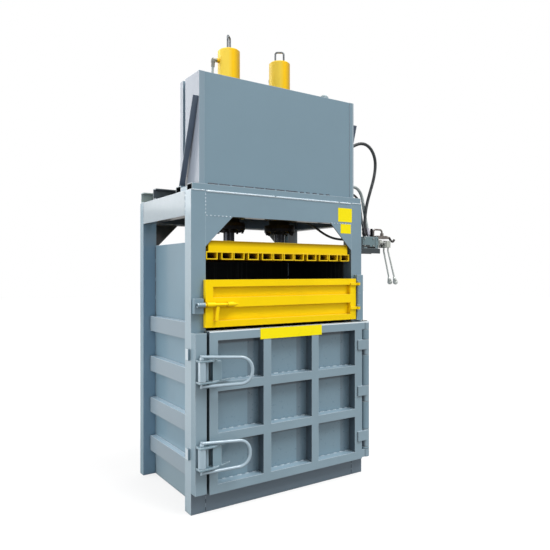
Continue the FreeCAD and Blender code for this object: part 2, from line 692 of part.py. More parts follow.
def tank_base():
    """Two flat tubes across the frame, open at both ends, joined by a block on each side."""
    half = HALF_WIDTH - BASE_TUBE_SHORTER
    wall = BASE_TUBE_WALL
    parts = []
    for at0 in (0, REAR_BASE_TUBE_AT):
        at1 = at0 + BASE_TUBE_DEPTH
        outer = box(-half, half, at0, at1, FRAME_HEIGHT, TANK_BOTTOM_Z)
        inner = box(-half - 1, half + 1, at0 + wall, at1 - wall,
                    FRAME_HEIGHT + wall, TANK_BOTTOM_Z - wall)
        parts.append(outer.cut(inner))
    for left in (-half, half - BASE_BLOCK_WIDTH):
        parts.append(box(left, left + BASE_BLOCK_WIDTH, BASE_TUBE_DEPTH, REAR_BASE_TUBE_AT,
                         FRAME_HEIGHT, FRAME_HEIGHT + BASE_BLOCK_HEIGHT))
    return join(parts)


def oil_tank():
    """A folded sheet tank with raised front edge strips, side slits and a filler hole."""
    half = TANK_HALF
    body_at = TANK_FRONT_AT + TANK_STRIP_PROUD
    outer = box(-half, half, body_at, TANK_REAR_AT, TANK_BOTTOM_Z, TANK_TOP_Z)
    strips = []
    for left in (-half, half - TANK_STRIP_WIDTH):
        strips.append(box(left, left + TANK_STRIP_WIDTH, TANK_FRONT_AT, body_at,
                          TANK_BOTTOM_Z, TANK_TOP_Z))
    outer = join([outer] + strips)
    slit_at = TANK_FRONT_AT + TANK_SLIT_AT
    for left in (-half, half - TANK_SLIT_DEEP):
        outer = outer.cut(box(left, left + TANK_SLIT_DEEP, slit_at, slit_at + TANK_SLIT_WIDTH,
                              TANK_BOTTOM_Z, TANK_TOP_Z))
    inset = TANK_SLIT_DEEP + TANK_SHEET
    inner = box(-half + inset, half - inset, body_at + TANK_SHEET, TANK_REAR_AT - TANK_SHEET,
                TANK_BOTTOM_Z + TANK_SHEET, TANK_TOP_Z - TANK_SHEET)
    filler = rod(FILLER_RADIUS, 2 * TANK_SHEET,
                 Vector(FILLER_X, depth(FILLER_AT), TANK_TOP_Z - TANK_SHEET), UP)
    return outer.cut(inner).cut(filler)


def breather():
    """The filler cap: a neck through the tank top under a wide domed cap."""
    centre = Vector(FILLER_X, depth(FILLER_AT), TANK_TOP_Z)
    neck = rod(FILLER_RADIUS, TANK_SHEET, centre - UP * TANK_SHEET, UP)
    flange = rod(BREATHER_RADIUS, BREATHER_FLANGE, centre, UP)
    stem = rod(FILLER_RADIUS, BREATHER_STEM, centre + UP * BREATHER_FLANGE, UP)
    cap_foot = BREATHER_FLANGE + BREATHER_STEM
    cap = rod(BREATHER_RADIUS, BREATHER_HEIGHT - cap_foot, centre + UP * cap_foot, UP)
    rim = [edge for edge in cap.Edges if edge.BoundBox.ZMin > TANK_TOP_Z + BREATHER_HEIGHT - 1]
    cap = cap.makeChamfer(BREATHER_CHAMFER, rim)
    return join([neck, flange, stem, cap])


def tank_brace():
    """The left brace: an angle bar from the tank's side down and back to the rear tube."""
    face = -TANK_HALF
    size = BRACE_FLANGE
    thick = BRACE_THICKNESS
    far = face - size - BRACE_LEAN

    def leaning(width, length):
        across = slab_xz(((face, BRACE_TOP_Z), (face - width, BRACE_TOP_Z),
                          (face - width - BRACE_LEAN, TANK_BOTTOM_Z),
                          (face - BRACE_LEAN, TANK_BOTTOM_Z)), 0, CYLINDER_AT)
        along = slab_yz(((BRACE_TOP_AT, BRACE_TOP_Z), (BRACE_TOP_AT + length, BRACE_TOP_Z),
                         (BRACE_FOOT_AT + length, TANK_BOTTOM_Z),
                         (BRACE_FOOT_AT, TANK_BOTTOM_Z)), far, face - far)
        return across.common(along)

    return join([leaning(size, thick), leaning(thick, size)])


def make_tank():
    save("tank_base", tank_base())
    save("oil_tank", oil_tank())
    save("tank_breather", breather())
    save("tank_brace_left", tank_brace())
    save("tank_brace_right", mirrored(tank_brace()))
    save("crossbeam_front", crossbeam(FRAME_WIDTH - 2 * FRONT_CROSSBEAM_INSET,
                                       BASE_TUBE_HEIGHT, FRONT_CROSSBEAM_BACK, -1))
    save("crossbeam_middle", crossbeam(FRAME_WIDTH, CROSSBEAM_HEIGHT,
                                       MIDDLE_CROSSBEAM_AT + CROSSBEAM_FLANGE, -1))
    save("crossbeam_rear", crossbeam(FRAME_WIDTH, CROSSBEAM_HEIGHT,
                                     REAR_CROSSBEAM_AT + CROSSBEAM_FLANGE, -1))


# ---- cylinders and platen ------------------------------------------------

def cylinder_axis(x, z):
    return Vector(x, depth(CYLINDER_AT), z)


def mount_plate():
    """The plate between the two crossbeams that the cylinders' collars push up against."""
    half = CYLINDER_X + MOUNT_PLATE_OVERHANG
    plate = box(-half, half, FRONT_CROSSBEAM_BACK, MIDDLE_CROSSBEAM_AT,
                FRAME_HEIGHT, FRAME_HEIGHT + MOUNT_PLATE_THICKNESS)
    for x in (-CYLINDER_X, CYLINDER_X):
        plate = plate.cut(rod(BARREL_RADIUS, MOUNT_PLATE_THICKNESS + 2,
                              cylinder_axis(x, FRAME_HEIGHT - 1), UP))
    return plate


def barrel(x, ports):
    """A closed barrel with its welded collar, lower flange and pipe ports."""
    bore = BARREL_RADIUS - BARREL_WALL
    body = rod(BARREL_RADIUS, BARREL_TOP_Z - BARREL_BOTTOM_Z, cylinder_axis(x, BARREL_BOTTOM_Z), UP)
    top_edge = [edge for edge in body.Edges if edge.BoundBox.ZMin > BARREL_TOP_Z - 1]
    body = body.makeChamfer(CAP_CHAMFER, top_edge)
    collar = rod(COLLAR_RADIUS, COLLAR_THICKNESS,
                 cylinder_axis(x, FRAME_HEIGHT - COLLAR_THICKNESS), UP)
    flange = rod(COLLAR_RADIUS, COLLAR_THICKNESS, cylinder_axis(x, BARREL_BOTTOM_Z), UP)
    stubs = [rod(PORT_RADIUS, BARREL_RADIUS + PORT_REACH, cylinder_axis(x, z), way)
             for z, way in ports]
    hollow = rod(bore, BARREL_TOP_Z - BARREL_CAP - BARREL_BOTTOM_Z + 1,
                 cylinder_axis(x, BARREL_BOTTOM_Z - 1), UP)
    return join([body, collar, flange] + stubs).cut(hollow)


def cross_pipe():
    """The straight steel pipe between the two barrels' lower ports."""
    half = CYLINDER_X - BARREL_RADIUS - PORT_REACH
    pipe = rod(CROSS_PIPE_RADIUS, 2 * half, cylinder_axis(-half, LOWER_PORT_Z), ALONG_X)
    nuts = [rod(CROSS_PIPE_NUT_RADIUS, PORT_REACH, cylinder_axis(start, LOWER_PORT_Z), ALONG_X)
            for start in (-half, half - PORT_REACH)]
    return join([pipe] + nuts)


def gland(x):
    """The head that closes the barrel's lower end and guides the rod."""
    head = rod(GLAND_RADIUS, GLAND_THICKNESS, cylinder_axis(x, BARREL_BOTTOM_Z - GLAND_THICKNESS), UP)
    nose = rod(GLAND_NOSE_RADIUS, GLAND_NOSE_LENGTH,
               cylinder_axis(x, BARREL_BOTTOM_Z - GLAND_THICKNESS - GLAND_NOSE_LENGTH), UP)
    whole = join([head, nose])
    through = GLAND_THICKNESS + GLAND_NOSE_LENGTH
    hole = rod(ROD_RADIUS + ROD_RUNNING_GAP, through + 2,
               cylinder_axis(x, BARREL_BOTTOM_Z - through - 1), UP)
    return whole.cut(hole)


def gland_bolts():
    """Two rings of bolt heads under the glands."""
    top = BARREL_BOTTOM_Z - GLAND_THICKNESS
    bolts = []
    for x in (-CYLINDER_X, CYLINDER_X):
        for number in range(GLAND_BOLTS):
            angle = 2 * math.pi * (number + 0.5) / GLAND_BOLTS
            outward = Vector(math.cos(angle), math.sin(angle), 0)
            centre = cylinder_axis(x, top) + outward * GLAND_BOLT_CIRCLE
            head = rod(GLAND_BOLT_HEAD, GLAND_BOLT_HEAD_LENGTH, centre - UP * GLAND_BOLT_HEAD_LENGTH, UP)
            tail = rod(GLAND_BOLT_RADIUS, GLAND_BOLT_TAIL,
                       centre - UP * (GLAND_BOLT_HEAD_LENGTH + GLAND_BOLT_TAIL), UP)
            bolts.append(join([head, tail]))
    return Part.makeCompound(bolts)


def lifting_eye(x, height, turn):
    """A bent wire loop welded on the barrel's cap, turned by this many degrees."""
    way = Vector(math.cos(math.radians(turn)), math.sin(math.radians(turn)), 0)
    half = EYE_WIDTH / 2 - EYE_WIRE
    foot = cylinder_axis(x, BARREL_TOP_Z)
    top = height - EYE_WIRE
    points = [foot - way * half, foot - way * half + UP * top,
              foot + way * half + UP * top, foot + way * half]
    shape, length = bent_rod(points, [EYE_BEND, EYE_BEND], EYE_WIRE)
    return shape


def piston_rod(x):
    """The chromed rod with its piston, from the platen into the barrel."""
    bore = BARREL_RADIUS - BARREL_WALL
    shaft = rod(ROD_RADIUS, PISTON_Z - PLATEN_TOP_Z, cylinder_axis(x, PLATEN_TOP_Z), UP)
    piston = rod(bore - ROD_RUNNING_GAP, PISTON_LENGTH,
                 cylinder_axis(x, PISTON_Z - PISTON_LENGTH / 2), UP)
    return join([shaft, piston])


def channel_lefts():
    """Left edges of the platen's channels, in groups with strap slots between them."""
    lefts = []
    x = -PLATEN_HALF
    pairs = sum(CHANNEL_COUNTS) - len(CHANNEL_COUNTS)
    slots = len(CHANNEL_COUNTS) - 1
    width = (2 * PLATEN_HALF - pairs * CHANNEL_PAIR_GAP - slots * STRAP_SLOT) / sum(CHANNEL_COUNTS)
    for count in CHANNEL_COUNTS:
        for number in range(count):
            lefts.append(x)
            x += width + CHANNEL_PAIR_GAP
        x += STRAP_SLOT - CHANNEL_PAIR_GAP
    return lefts, width


def platen_deck():
    """The deck plate with its channels welded under it, open at the front and back."""
    half = PLATEN_HALF
    back = CHAMBER_REAR_AT - PLATEN_BACK_CLEARANCE
    shape = box(-half, half, PLATEN_AT, back, CHANNEL_TOP_Z, DECK_TOP_Z)
    lefts, width = channel_lefts()
    channels = []
    for left in lefts:
        outer = box(left, left + width, PLATEN_AT, back, PLATEN_BOTTOM_Z, CHANNEL_TOP_Z)
        inner = box(left + CHANNEL_SHEET, left + width - CHANNEL_SHEET, PLATEN_AT - 1, back + 1,
                    PLATEN_BOTTOM_Z + CHANNEL_SHEET, CHANNEL_TOP_Z + 1)
        channels.append(outer.cut(inner))
    return join([shape] + channels)


def platen_frame():
    """The box frame on the deck, with the two pads that the rods push on."""
    half = PLATEN_HALF - PLATEN_FRAME_INSET
    back = CHAMBER_REAR_AT - PLATEN_FRAME_BACK_INSET
    sheet = PLATEN_FRAME_SHEET
    rim = box(-half, half, PLATEN_FRAME_AT, back, DECK_TOP_Z, PLATEN_TOP_Z).cut(
        box(-half + sheet, half - sheet, PLATEN_FRAME_AT + sheet, back - sheet,
            DECK_TOP_Z, PLATEN_TOP_Z))
    parts = [rim]
    for x in (-CYLINDER_X, CYLINDER_X):
        for side in (-1, 1):
            middle = x + side * ROD_PAD / 2
            parts.append(box(middle - sheet / 2, middle + sheet / 2, PLATEN_FRAME_AT + sheet,
                             back - sheet, DECK_TOP_Z, PLATEN_TOP_Z - ROD_PAD_THICKNESS))
        parts.append(box(x - ROD_PAD / 2 - sheet, x + ROD_PAD / 2 + sheet,
                         CYLINDER_AT - ROD_PAD / 2, CYLINDER_AT + ROD_PAD / 2,
                         PLATEN_TOP_Z - ROD_PAD_THICKNESS, PLATEN_TOP_Z))
    return join(parts)


def make_cylinders_and_platen():
    save("cylinder_mount_plate", mount_plate())
    save("cylinder_left", barrel(-CYLINDER_X, ((PORT_Z, -ALONG_X), (LOWER_PORT_Z, ALONG_X))))
    save("cylinder_right", barrel(CYLINDER_X, ((PORT_Z, ALONG_Y), (LOWER_PORT_Z, ALONG_X),
                                               (LOWER_PORT_Z, -ALONG_X))))
    save("cross_pipe", cross_pipe())
    save("gland_left", gland(-CYLINDER_X))
    save("gland_right", gland(CYLINDER_X))
    save("gland_bolts", gland_bolts())
    save("lifting_eyes", Part.makeCompound([lifting_eye(x, height, turn) for x, height, turn in
                                            zip((-CYLINDER_X, CYLINDER_X), EYE_HEIGHTS, EYE_TURNS)]))
    save("piston_rod_left", piston_rod(-CYLINDER_X))
    save("piston_rod_right", piston_rod(CYLINDER_X))
    save("platen_deck", platen_deck())
    save("platen_frame", platen_frame())


# ---- main door -----------------------------------------------------------

def door_columns():
    """Left edges of the upright ribs."""
    clear = DOOR_RIGHT - DOOR_LEFT - DOOR_LEFT_STILE - DOOR_RIGHT_STILE
    column = (clear - DOOR_RIB * (DOOR_COLUMNS - 1)) / DOOR_COLUMNS
    first = DOOR_LEFT + DOOR_LEFT_STILE + column
    return [first + number * (column + DOOR_RIB) for number in range(DOOR_COLUMNS - 1)]


def door_rails():
    """Bottom edges of the level rails."""
    pitch = DOOR_RAIL + DOOR_ROW_HEIGHT
    return [DOOR_BOTTOM + number * pitch for number in range(DOOR_ROWS + 1)]


def door_frame():
    """The welded grid: two stiles, rails and ribs, all folded channels open to the back."""
    front = DOOR_FRONT_AT
    back = DOOR_SKIN_FRONT_AT
    sheet = DOOR_SECTION_SHEET
    inner_left = -INNER_X + DOOR_SIDE_GAP
    inner_right = INNER_X - DOOR_SIDE_GAP
    left_clear = DOOR_LEFT + DOOR_LEFT_STILE
    right_clear = DOOR_RIGHT - DOOR_RIGHT_STILE
    height = DOOR_TOP - DOOR_BOTTOM
    left_stile = slab_xy(((DOOR_LEFT, front), (left_clear, front), (left_clear, back),
                          (inner_left, back), (inner_left, -DOOR_POST_GAP),
                          (DOOR_LEFT, -DOOR_POST_GAP)), DOOR_BOTTOM, height)
    left_hollow = box(inner_left + sheet, left_clear - sheet, front + sheet, back + 1,
                      DOOR_BOTTOM + sheet, DOOR_TOP - sheet)
    right_stile = slab_xy(((right_clear, front), (DOOR_RIGHT, front),
                           (DOOR_RIGHT, -DOOR_POST_GAP), (inner_right, -DOOR_POST_GAP),
                           (inner_right, back), (right_clear, back)), DOOR_BOTTOM, height)
    right_hollow = box(right_clear + sheet, DOOR_RIGHT - sheet, front + sheet,
                       -DOOR_POST_GAP - sheet, DOOR_BOTTOM + sheet, DOOR_TOP - sheet)
    right_mouth = box(right_clear + sheet, inner_right - 0.4 * sheet, -DOOR_POST_GAP - sheet,
                      back + 1, DOOR_BOTTOM + sheet, DOOR_TOP - sheet)
    parts = [left_stile.cut(left_hollow), right_stile.cut(right_hollow).cut(right_mouth)]
    for bottom in door_rails():
        rail = box(left_clear, right_clear, front, back, bottom, bottom + DOOR_RAIL)
        hollow = box(left_clear, right_clear, front + sheet, back + 1, bottom + sheet,
                     bottom + DOOR_RAIL - sheet)
        parts.append(rail.cut(hollow))
    for left in door_columns():
        for bottom in door_rails()[:-1]:
            low = bottom + DOOR_RAIL
            rib = box(left, left + DOOR_RIB, front, back, low, low + DOOR_ROW_HEIGHT)
            hollow = box(left + sheet, left + DOOR_RIB - sheet, front + sheet, back + 1,
                         low, low + DOOR_ROW_HEIGHT)
            parts.append(rib.cut(hollow))
    return join(parts)


def door_skin():
    """The steel sheet behind the grid, inside the opening between the posts."""
    return box(-INNER_X + DOOR_SIDE_GAP, INNER_X - DOOR_SIDE_GAP, DOOR_SKIN_FRONT_AT,
               DOOR_SKIN_FRONT_AT + DOOR_SKIN, DOOR_BOTTOM, DOOR_TOP)


def hinge_axis(z):
    return Vector(HINGE_X, depth(HINGE_AT), z)


def door_knuckle(low, high, web_low, web_high):
    """One moving tube of the door's hinge and the web that joins it to the right stile."""
    bore = HINGE_PIN_RADIUS + HINGE_RUNNING_GAP
    ring = tube(HINGE_TUBE_RADIUS, bore, high - low, hinge_axis(low), UP)
    web = box(DOOR_RIGHT, HINGE_X, DOOR_FRONT_AT, HINGE_AT, web_low, web_high)
    hole = rod(bore, web_high - web_low + 2, hinge_axis(web_low - 1), UP)
    return join([ring, web.cut(hole)])


def door_hinge_leaf(level, knuckle):
    """A door knuckle with its strap welded on the face of the right stile."""
    low, high = knuckle
    strap = box(HINGE_X - LUG_LENGTH, HINGE_X, DOOR_FRONT_AT - LUG_THICKNESS,
                DOOR_FRONT_AT, level, level + LUG_HEIGHT)
    moving = door_knuckle(low + HINGE_KNUCKLE_GAP, high - HINGE_KNUCKLE_GAP,
                          level, level + LUG_HEIGHT)
    return join([moving, strap])


def door_hinge_ends():
    """The door's lowest and highest knuckles, each on the end of a rail."""
    low, high = HINGE_FOOT
    foot = door_knuckle(low, high - HINGE_KNUCKLE_GAP, low, high - HINGE_KNUCKLE_GAP)
    low, high = HINGE_CROWN
    crown = door_knuckle(low + HINGE_KNUCKLE_GAP, high - HINGE_END_GAP,
                         low + HINGE_KNUCKLE_GAP, DOOR_TOP)
    return [foot, crown]


def hinge_post():
    """The fixed knuckles between the door's, welded on the front of the right post."""
    bore = HINGE_PIN_RADIUS + HINGE_RUNNING_GAP
    moving = [HINGE_FOOT] + list(HINGE_KNUCKLES) + [HINGE_CROWN]
    shapes = []
    for below, above in zip(moving, moving[1:]):
        low, high = below[1], above[0]
        ring = tube(HINGE_TUBE_RADIUS, bore, high - low, hinge_axis(low), UP)
        seat = box(HINGE_X - HINGE_SEAT / 2, HINGE_X + HINGE_SEAT / 2,
                   HINGE_AT + HINGE_SEAT_BITE, 0, low, high)
        shapes.append(join([ring, seat]))
    return Part.makeCompound(shapes)


def hinge_pin():
    """The long pin through every knuckle, its head resting on the top one."""
    shaft = rod(HINGE_PIN_RADIUS, HINGE_TOP - HINGE_BOTTOM, hinge_axis(HINGE_BOTTOM), UP)
    head = rod(HINGE_PIN_RADIUS + HINGE_HEAD, HINGE_HEAD, hinge_axis(HINGE_TOP), UP)
    return join([shaft, head])


def latch_bracket(level, top_reach):
    """Two plates and the block between them, welded on the left stile."""
    pieces = []
    back_jamb = DOOR_FRONT_AT - LATCH_JAMB_GAP
    front = DOOR_FRONT_AT - LATCH_JAMB_GAP - LATCH_PLATE_DEPTH
    left = LATCH_PLATE_INSET - HALF_WIDTH
    block_left = DOOR_LEFT + LATCH_BLOCK_INSET
    weld = DOOR_LEFT + LATCH_WELD_LENGTH
    for z, reach in ((level - LATCH_GAP / 2 - LATCH_PLATE, LATCH_TIP_REACH),
                     (level + LATCH_GAP / 2, top_reach)):
        tip = DOOR_LEFT + reach
        outline = ((left, back_jamb), (left, front), (block_left, front),
                   (tip, DOOR_FRONT_AT - LATCH_TIP_THICKNESS), (tip, DOOR_FRONT_AT),
                   (weld, DOOR_FRONT_AT), (weld, back_jamb))
        plate = slab_xy(outline, z, LATCH_PLATE)
        hole = rod(PIVOT_RADIUS + HINGE_RUNNING_GAP, LATCH_PLATE + 2,
                   Vector(PIVOT_X, depth(PIVOT_AT), z - 1), UP)
        pieces.append(plate.cut(hole))
    pieces.append(box(block_left, block_left + LATCH_BLOCK_WIDTH,
                      DOOR_FRONT_AT - LATCH_BLOCK_DEPTH, DOOR_FRONT_AT,
                      level - LATCH_GAP / 2, level + LATCH_GAP / 2))
    return join(pieces)


def latch_handle(level, swing):
    """The U-shaped handle with its pivot pin and the eccentric cam between the plates."""
    swing = math.radians(swing)
    way = Vector(math.cos(swing), math.sin(swing), 0)
    pivot = Vector(PIVOT_X, depth(PIVOT_AT), level)
    half_pin = HANDLE_PIN_GAP / 2
    half_bend = HANDLE_BEND_GAP / 2
    far = HANDLE_REACH
    points = [pivot + UP * half_pin, pivot + way * far + UP * half_bend,
              pivot + way * far - UP * half_bend, pivot - UP * half_pin]
    bends = [half_bend * HANDLE_BEND_SHARE, half_bend * HANDLE_BEND_SHARE]
    bar, length = bent_rod(points, bends, HANDLE_RADIUS)
    pin = rod(PIVOT_RADIUS, HANDLE_PIN_GAP + 2 * HANDLE_RADIUS,
              pivot - UP * (half_pin + HANDLE_RADIUS), UP)
    cam_height = LATCH_GAP - 4 * HINGE_END_GAP
    cam_centre = pivot - UP * cam_height / 2 + way * CAM_OFFSET
    cam = rod(CAM_RADIUS, cam_height, cam_centre, UP)
    boss_start = LATCH_GAP / 2 + LATCH_PLATE + HINGE_END_GAP
    boss = rod(BOSS_RADIUS, half_pin - HANDLE_RADIUS * 0.5 - boss_start, pivot + UP * boss_start, UP)
    return join([bar, pin, cam, boss])


def latch_jamb():
    """The square box along the left post's face that the latches close over."""
    left = -HALF_WIDTH
    wall = POST_WALL
    jamb = box(left, left + JAMB_WIDTH, DOOR_FRONT_AT, 0, JAMB_BOTTOM, JAMB_TOP)
    hollow = box(left + wall, left + JAMB_WIDTH - wall, DOOR_FRONT_AT + wall, -wall,
                 JAMB_BOTTOM - 1, JAMB_TOP - wall)
    return join([jamb.cut(hollow)] + [latch_keeper(level) for name, level, swing in LATCH_LEVELS])


def latch_keeper(level):
    """The upright bar on the jamb that the cam pulls against."""
    height = LATCH_GAP - 8 * HINGE_END_GAP
    left = KEEPER_INSET - HALF_WIDTH
    return box(left, left + KEEPER_WIDTH, DOOR_FRONT_AT - KEEPER_DEPTH,
               DOOR_FRONT_AT, level - height / 2, level + height / 2)


def door_label_plate():
    """A thin blank plate on the door's top rail."""
    at0 = DOOR_FRONT_AT - DOOR_PLATE_THICKNESS
    return box(DOOR_PLATE_LEFT, DOOR_PLATE_RIGHT, at0, DOOR_FRONT_AT,
               DOOR_TOP - DOOR_PLATE_HEIGHT, DOOR_TOP)


def make_door():
    leaves = [door_hinge_leaf(level, knuckle)
              for level, knuckle in zip(LUG_BOTTOMS, HINGE_KNUCKLES)]
    save("door_frame", join([door_frame()] + leaves + door_hinge_ends()))
    save("door_skin", door_skin())
    save("hinge_post", hinge_post())
    save("hinge_pin", hinge_pin())
    save("latch_jamb", latch_jamb())
    save("door_label_plate", door_label_plate())
    reaches = (LATCH_SHORT_TIP_REACH, LATCH_TIP_REACH)
    for (name, level, swing), reach in zip(LATCH_LEVELS, reaches):
        save("latch_bracket_" + name, latch_bracket(level, reach))
        save("latch_handle_" + name, latch_handle(level, swing))


# ---- feed gate -----------------------------------------------------------

def gate_axis(z):
    return Vector(GATE_HINGE_X, depth(GATE_HINGE_AT), z)


def gate_panel():
    """The folded gate: a sheet at the back, raised hollow rims and a raised middle rail."""
    front = GATE_FRONT_AT
    back = -GATE_POST_GAP
    sheet = GATE_SHEET
    whole = box(GATE_LEFT, GATE_RIGHT, front, back, GATE_BOTTOM, GATE_TOP)
    left = GATE_LEFT + GATE_STILE
    right = GATE_RIGHT - GATE_STILE
    lower = (GATE_BOTTOM + GATE_BOTTOM_RAIL, GATE_MID_RAIL_BOTTOM)
    upper = (GATE_MID_RAIL_BOTTOM + GATE_MID_RAIL, GATE_TOP - GATE_TOP_RAIL)
    for low, high in (lower, upper):
        whole = whole.cut(box(left, right, front - 1, back - sheet, low, high))
    rails = ((GATE_BOTTOM, lower[0]), (lower[1], upper[0]), (upper[1], GATE_TOP))
    for low, high in rails:
        whole = whole.cut(box(left, right, front + sheet, back + 1, low + sheet, high - sheet))
    for low, high in ((GATE_LEFT, left), (right, GATE_RIGHT)):
        whole = whole.cut(box(low + sheet, high - sheet, front + sheet, back + 1,
                              GATE_BOTTOM + sheet, GATE_TOP - sheet))
    return whole


def gate_hinge_leaf(level):
    """A gate strap ending in a knuckle round the gate's pin."""
    bore = GATE_PIN_RADIUS + HINGE_RUNNING_GAP
    front = GATE_FRONT_AT - GATE_LUG_THICKNESS
    ring = tube(GATE_KNUCKLE_RADIUS, bore, GATE_LUG_HEIGHT, gate_axis(level), UP)
    welded = box(GATE_HINGE_X - GATE_LUG_REACH, GATE_RIGHT, front, GATE_FRONT_AT,
                 level, level + GATE_LUG_HEIGHT)
    free = box(GATE_RIGHT, GATE_HINGE_X, front, GATE_FRONT_AT - 1.5 * WELD_SEAT,
               level, level + GATE_LUG_HEIGHT)
    free = free.cut(rod(bore, GATE_LUG_HEIGHT + 2, gate_axis(level - 1), UP))
    return join([ring, welded, free])


def gate_guides():
    """The two guide tubes of the bolt, welded on the gate's middle rail."""
    guides = []
    for left, right in GUIDE_RANGES:
        start = Vector(GATE_LEFT + left, depth(BOLT_AT), BOLT_Z)
        guides.append(tube(BOLT_TUBE_RADIUS, BOLT_RADIUS + BOLT_SLIDING_GAP, right - left,
                           start, ALONG_X))
    return guides


def gate_bolt():
    """The sliding bolt with its hanging lever and pointed tail."""
    length = BOLT_TIP_PROUD + BOLT_TAIL_REACH - BOLT_CONE_LENGTH
    tip = Vector(GATE_LEFT - BOLT_TIP_PROUD, depth(BOLT_AT), BOLT_Z)
    shaft = rod(BOLT_RADIUS, length, tip, ALONG_X)
    cone = Part.makeCone(BOLT_RADIUS, BOLT_CONE_TIP_RADIUS, BOLT_CONE_LENGTH,
                         tip + ALONG_X * length, ALONG_X)
    half = BOLT_LEVER_WIDTH / 2
    top_x = GATE_LEFT + BOLT_LEVER_REACH
    low_x = top_x - BOLT_LEVER_LEAN
    bottom = BOLT_Z - BOLT_LEVER_LENGTH
    outline = ((top_x - half, BOLT_Z), (top_x + half, BOLT_Z), (low_x + half, bottom + half),
               (low_x, bottom), (low_x - half, bottom + half))
    lever = slab_xz(outline, BOLT_AT - BOLT_LEVER_THICKNESS / 2, BOLT_LEVER_THICKNESS)
    return join([shaft, cone, lever])


def gate_keeper():
    """The block and socket on the left post that the bolt slides into."""
    block = box(KEEPER_BLOCK_LEFT, KEEPER_BLOCK_RIGHT, GATE_FRONT_AT, 0,
                KEEPER_BLOCK_BOTTOM, KEEPER_BLOCK_TOP)
    wall = BASE_TUBE_WALL
    hollow = box(KEEPER_BLOCK_LEFT + wall, KEEPER_BLOCK_RIGHT - wall, GATE_FRONT_AT + wall, 1,
                 KEEPER_BLOCK_BOTTOM - 1, KEEPER_BLOCK_TOP - wall)
    socket = rod(BOLT_TUBE_RADIUS, SOCKET_LENGTH,
                 Vector(SOCKET_LEFT, depth(BOLT_AT), BOLT_Z), ALONG_X)
    bore = rod(BOLT_RADIUS + BOLT_SLIDING_GAP, SOCKET_LENGTH + 2,
               Vector(SOCKET_LEFT - 1, depth(BOLT_AT), BOLT_Z), ALONG_X)
    return join([block.cut(hollow), socket]).cut(bore)


def gate_hinge_block():
    """The box on the right post, with the gate's pin standing in front of it on three ears."""
    wall = BASE_TUBE_WALL
    right = HALF_WIDTH - GATE_HINGE_BLOCK_INSET
    left = right - GATE_HINGE_BLOCK_WIDTH
    block = box(left, right, GATE_FRONT_AT, 0, GATE_HINGE_BLOCK_BOTTOM, GATE_HINGE_BLOCK_TOP)
    hollow = box(left + wall, right - wall, GATE_FRONT_AT + wall, 1,
                 GATE_HINGE_BLOCK_BOTTOM - 1, GATE_HINGE_BLOCK_TOP - wall)
    above = [level + GATE_LUG_HEIGHT + HINGE_END_GAP for level in GATE_LUG_BOTTOMS]
    low = GATE_LUG_BOTTOMS[0] - HINGE_END_GAP - GATE_EAR_HEIGHT
    pin = rod(GATE_PIN_RADIUS, above[-1] + GATE_EAR_HEIGHT - low, gate_axis(low), UP)
    ears = [box(GATE_HINGE_X - GATE_EAR, GATE_HINGE_X + GATE_EAR, GATE_HINGE_AT - GATE_EAR,
                GATE_FRONT_AT, z, z + GATE_EAR_HEIGHT) for z in [low] + above]
    bolt_head = rod(GATE_EAR, GATE_PIN_RADIUS,
                    Vector(HALF_WIDTH - GATE_BOLT_HEAD_INSET, depth(GATE_FRONT_AT),
                           GATE_BOLT_HEAD_Z), -ALONG_Y)
    return join([block.cut(hollow), pin, bolt_head] + ears)


def make_gate():
    leaves = [gate_hinge_leaf(level) for level in GATE_LUG_BOTTOMS]
    save("gate_panel", join([gate_panel()] + leaves + gate_guides()))
    save("gate_bolt", gate_bolt())
    save("gate_keeper", gate_keeper())
    save("gate_hinge_block", gate_hinge_block())


# ---- hydraulics ----------------------------------------------------------

def valve_bracket():
    """The channel arm that carries the valve, welded on the right post's side."""
    x1 = HALF_WIDTH + BRACKET_LENGTH
    low = BRACKET_TOP_Z - BRACKET_HEIGHT
    at0 = VALVE_AT - BRACKET_OVERHANG
    at1 = VALVE_AT + VALVE_SECTIONS * VALVE_SECTION + BRACKET_OVERHANG
    arm = box(HALF_WIDTH, x1, at0, at1, low, BRACKET_TOP_Z)
    hollow = box(HALF_WIDTH + BRACKET_SHEET, x1 + 1, at0 + BRACKET_SHEET, at1 - BRACKET_SHEET,
                 low - 1, BRACKET_TOP_Z - BRACKET_SHEET)
    return arm.cut(hollow)


def section_middle(section):
    """Distance behind the front plane of one valve section's centre line."""
    return VALVE_AT + VALVE_SECTION * (section + 0.5)


def lever_yoke(section):
    """The forked lever holder at the end of one spool, with its cross pin."""
    middle = section_middle(section)
    z1 = SPOOL_Z + YOKE_OVERHANG
    z0 = LEVER_PIVOT_Z - YOKE_OVERHANG
    outer = YOKE_HALF_GAP + YOKE_SHEET
    back = box(YOKE_X, YOKE_X + YOKE_SHEET, middle - outer, middle + outer, z0, z1)
    cheeks = []
    for at0 in (middle - outer, middle + YOKE_HALF_GAP):
        cheeks.append(box(YOKE_X, LEVER_PIVOT_X + YOKE_OVERHANG, at0, at0 + YOKE_SHEET, z0, z1))
    pin = rod(LEVER_PIVOT_RADIUS, 2 * outer,
              Vector(LEVER_PIVOT_X, depth(middle - outer), LEVER_PIVOT_Z), ALONG_Y)
    return join([back, pin] + cheeks)


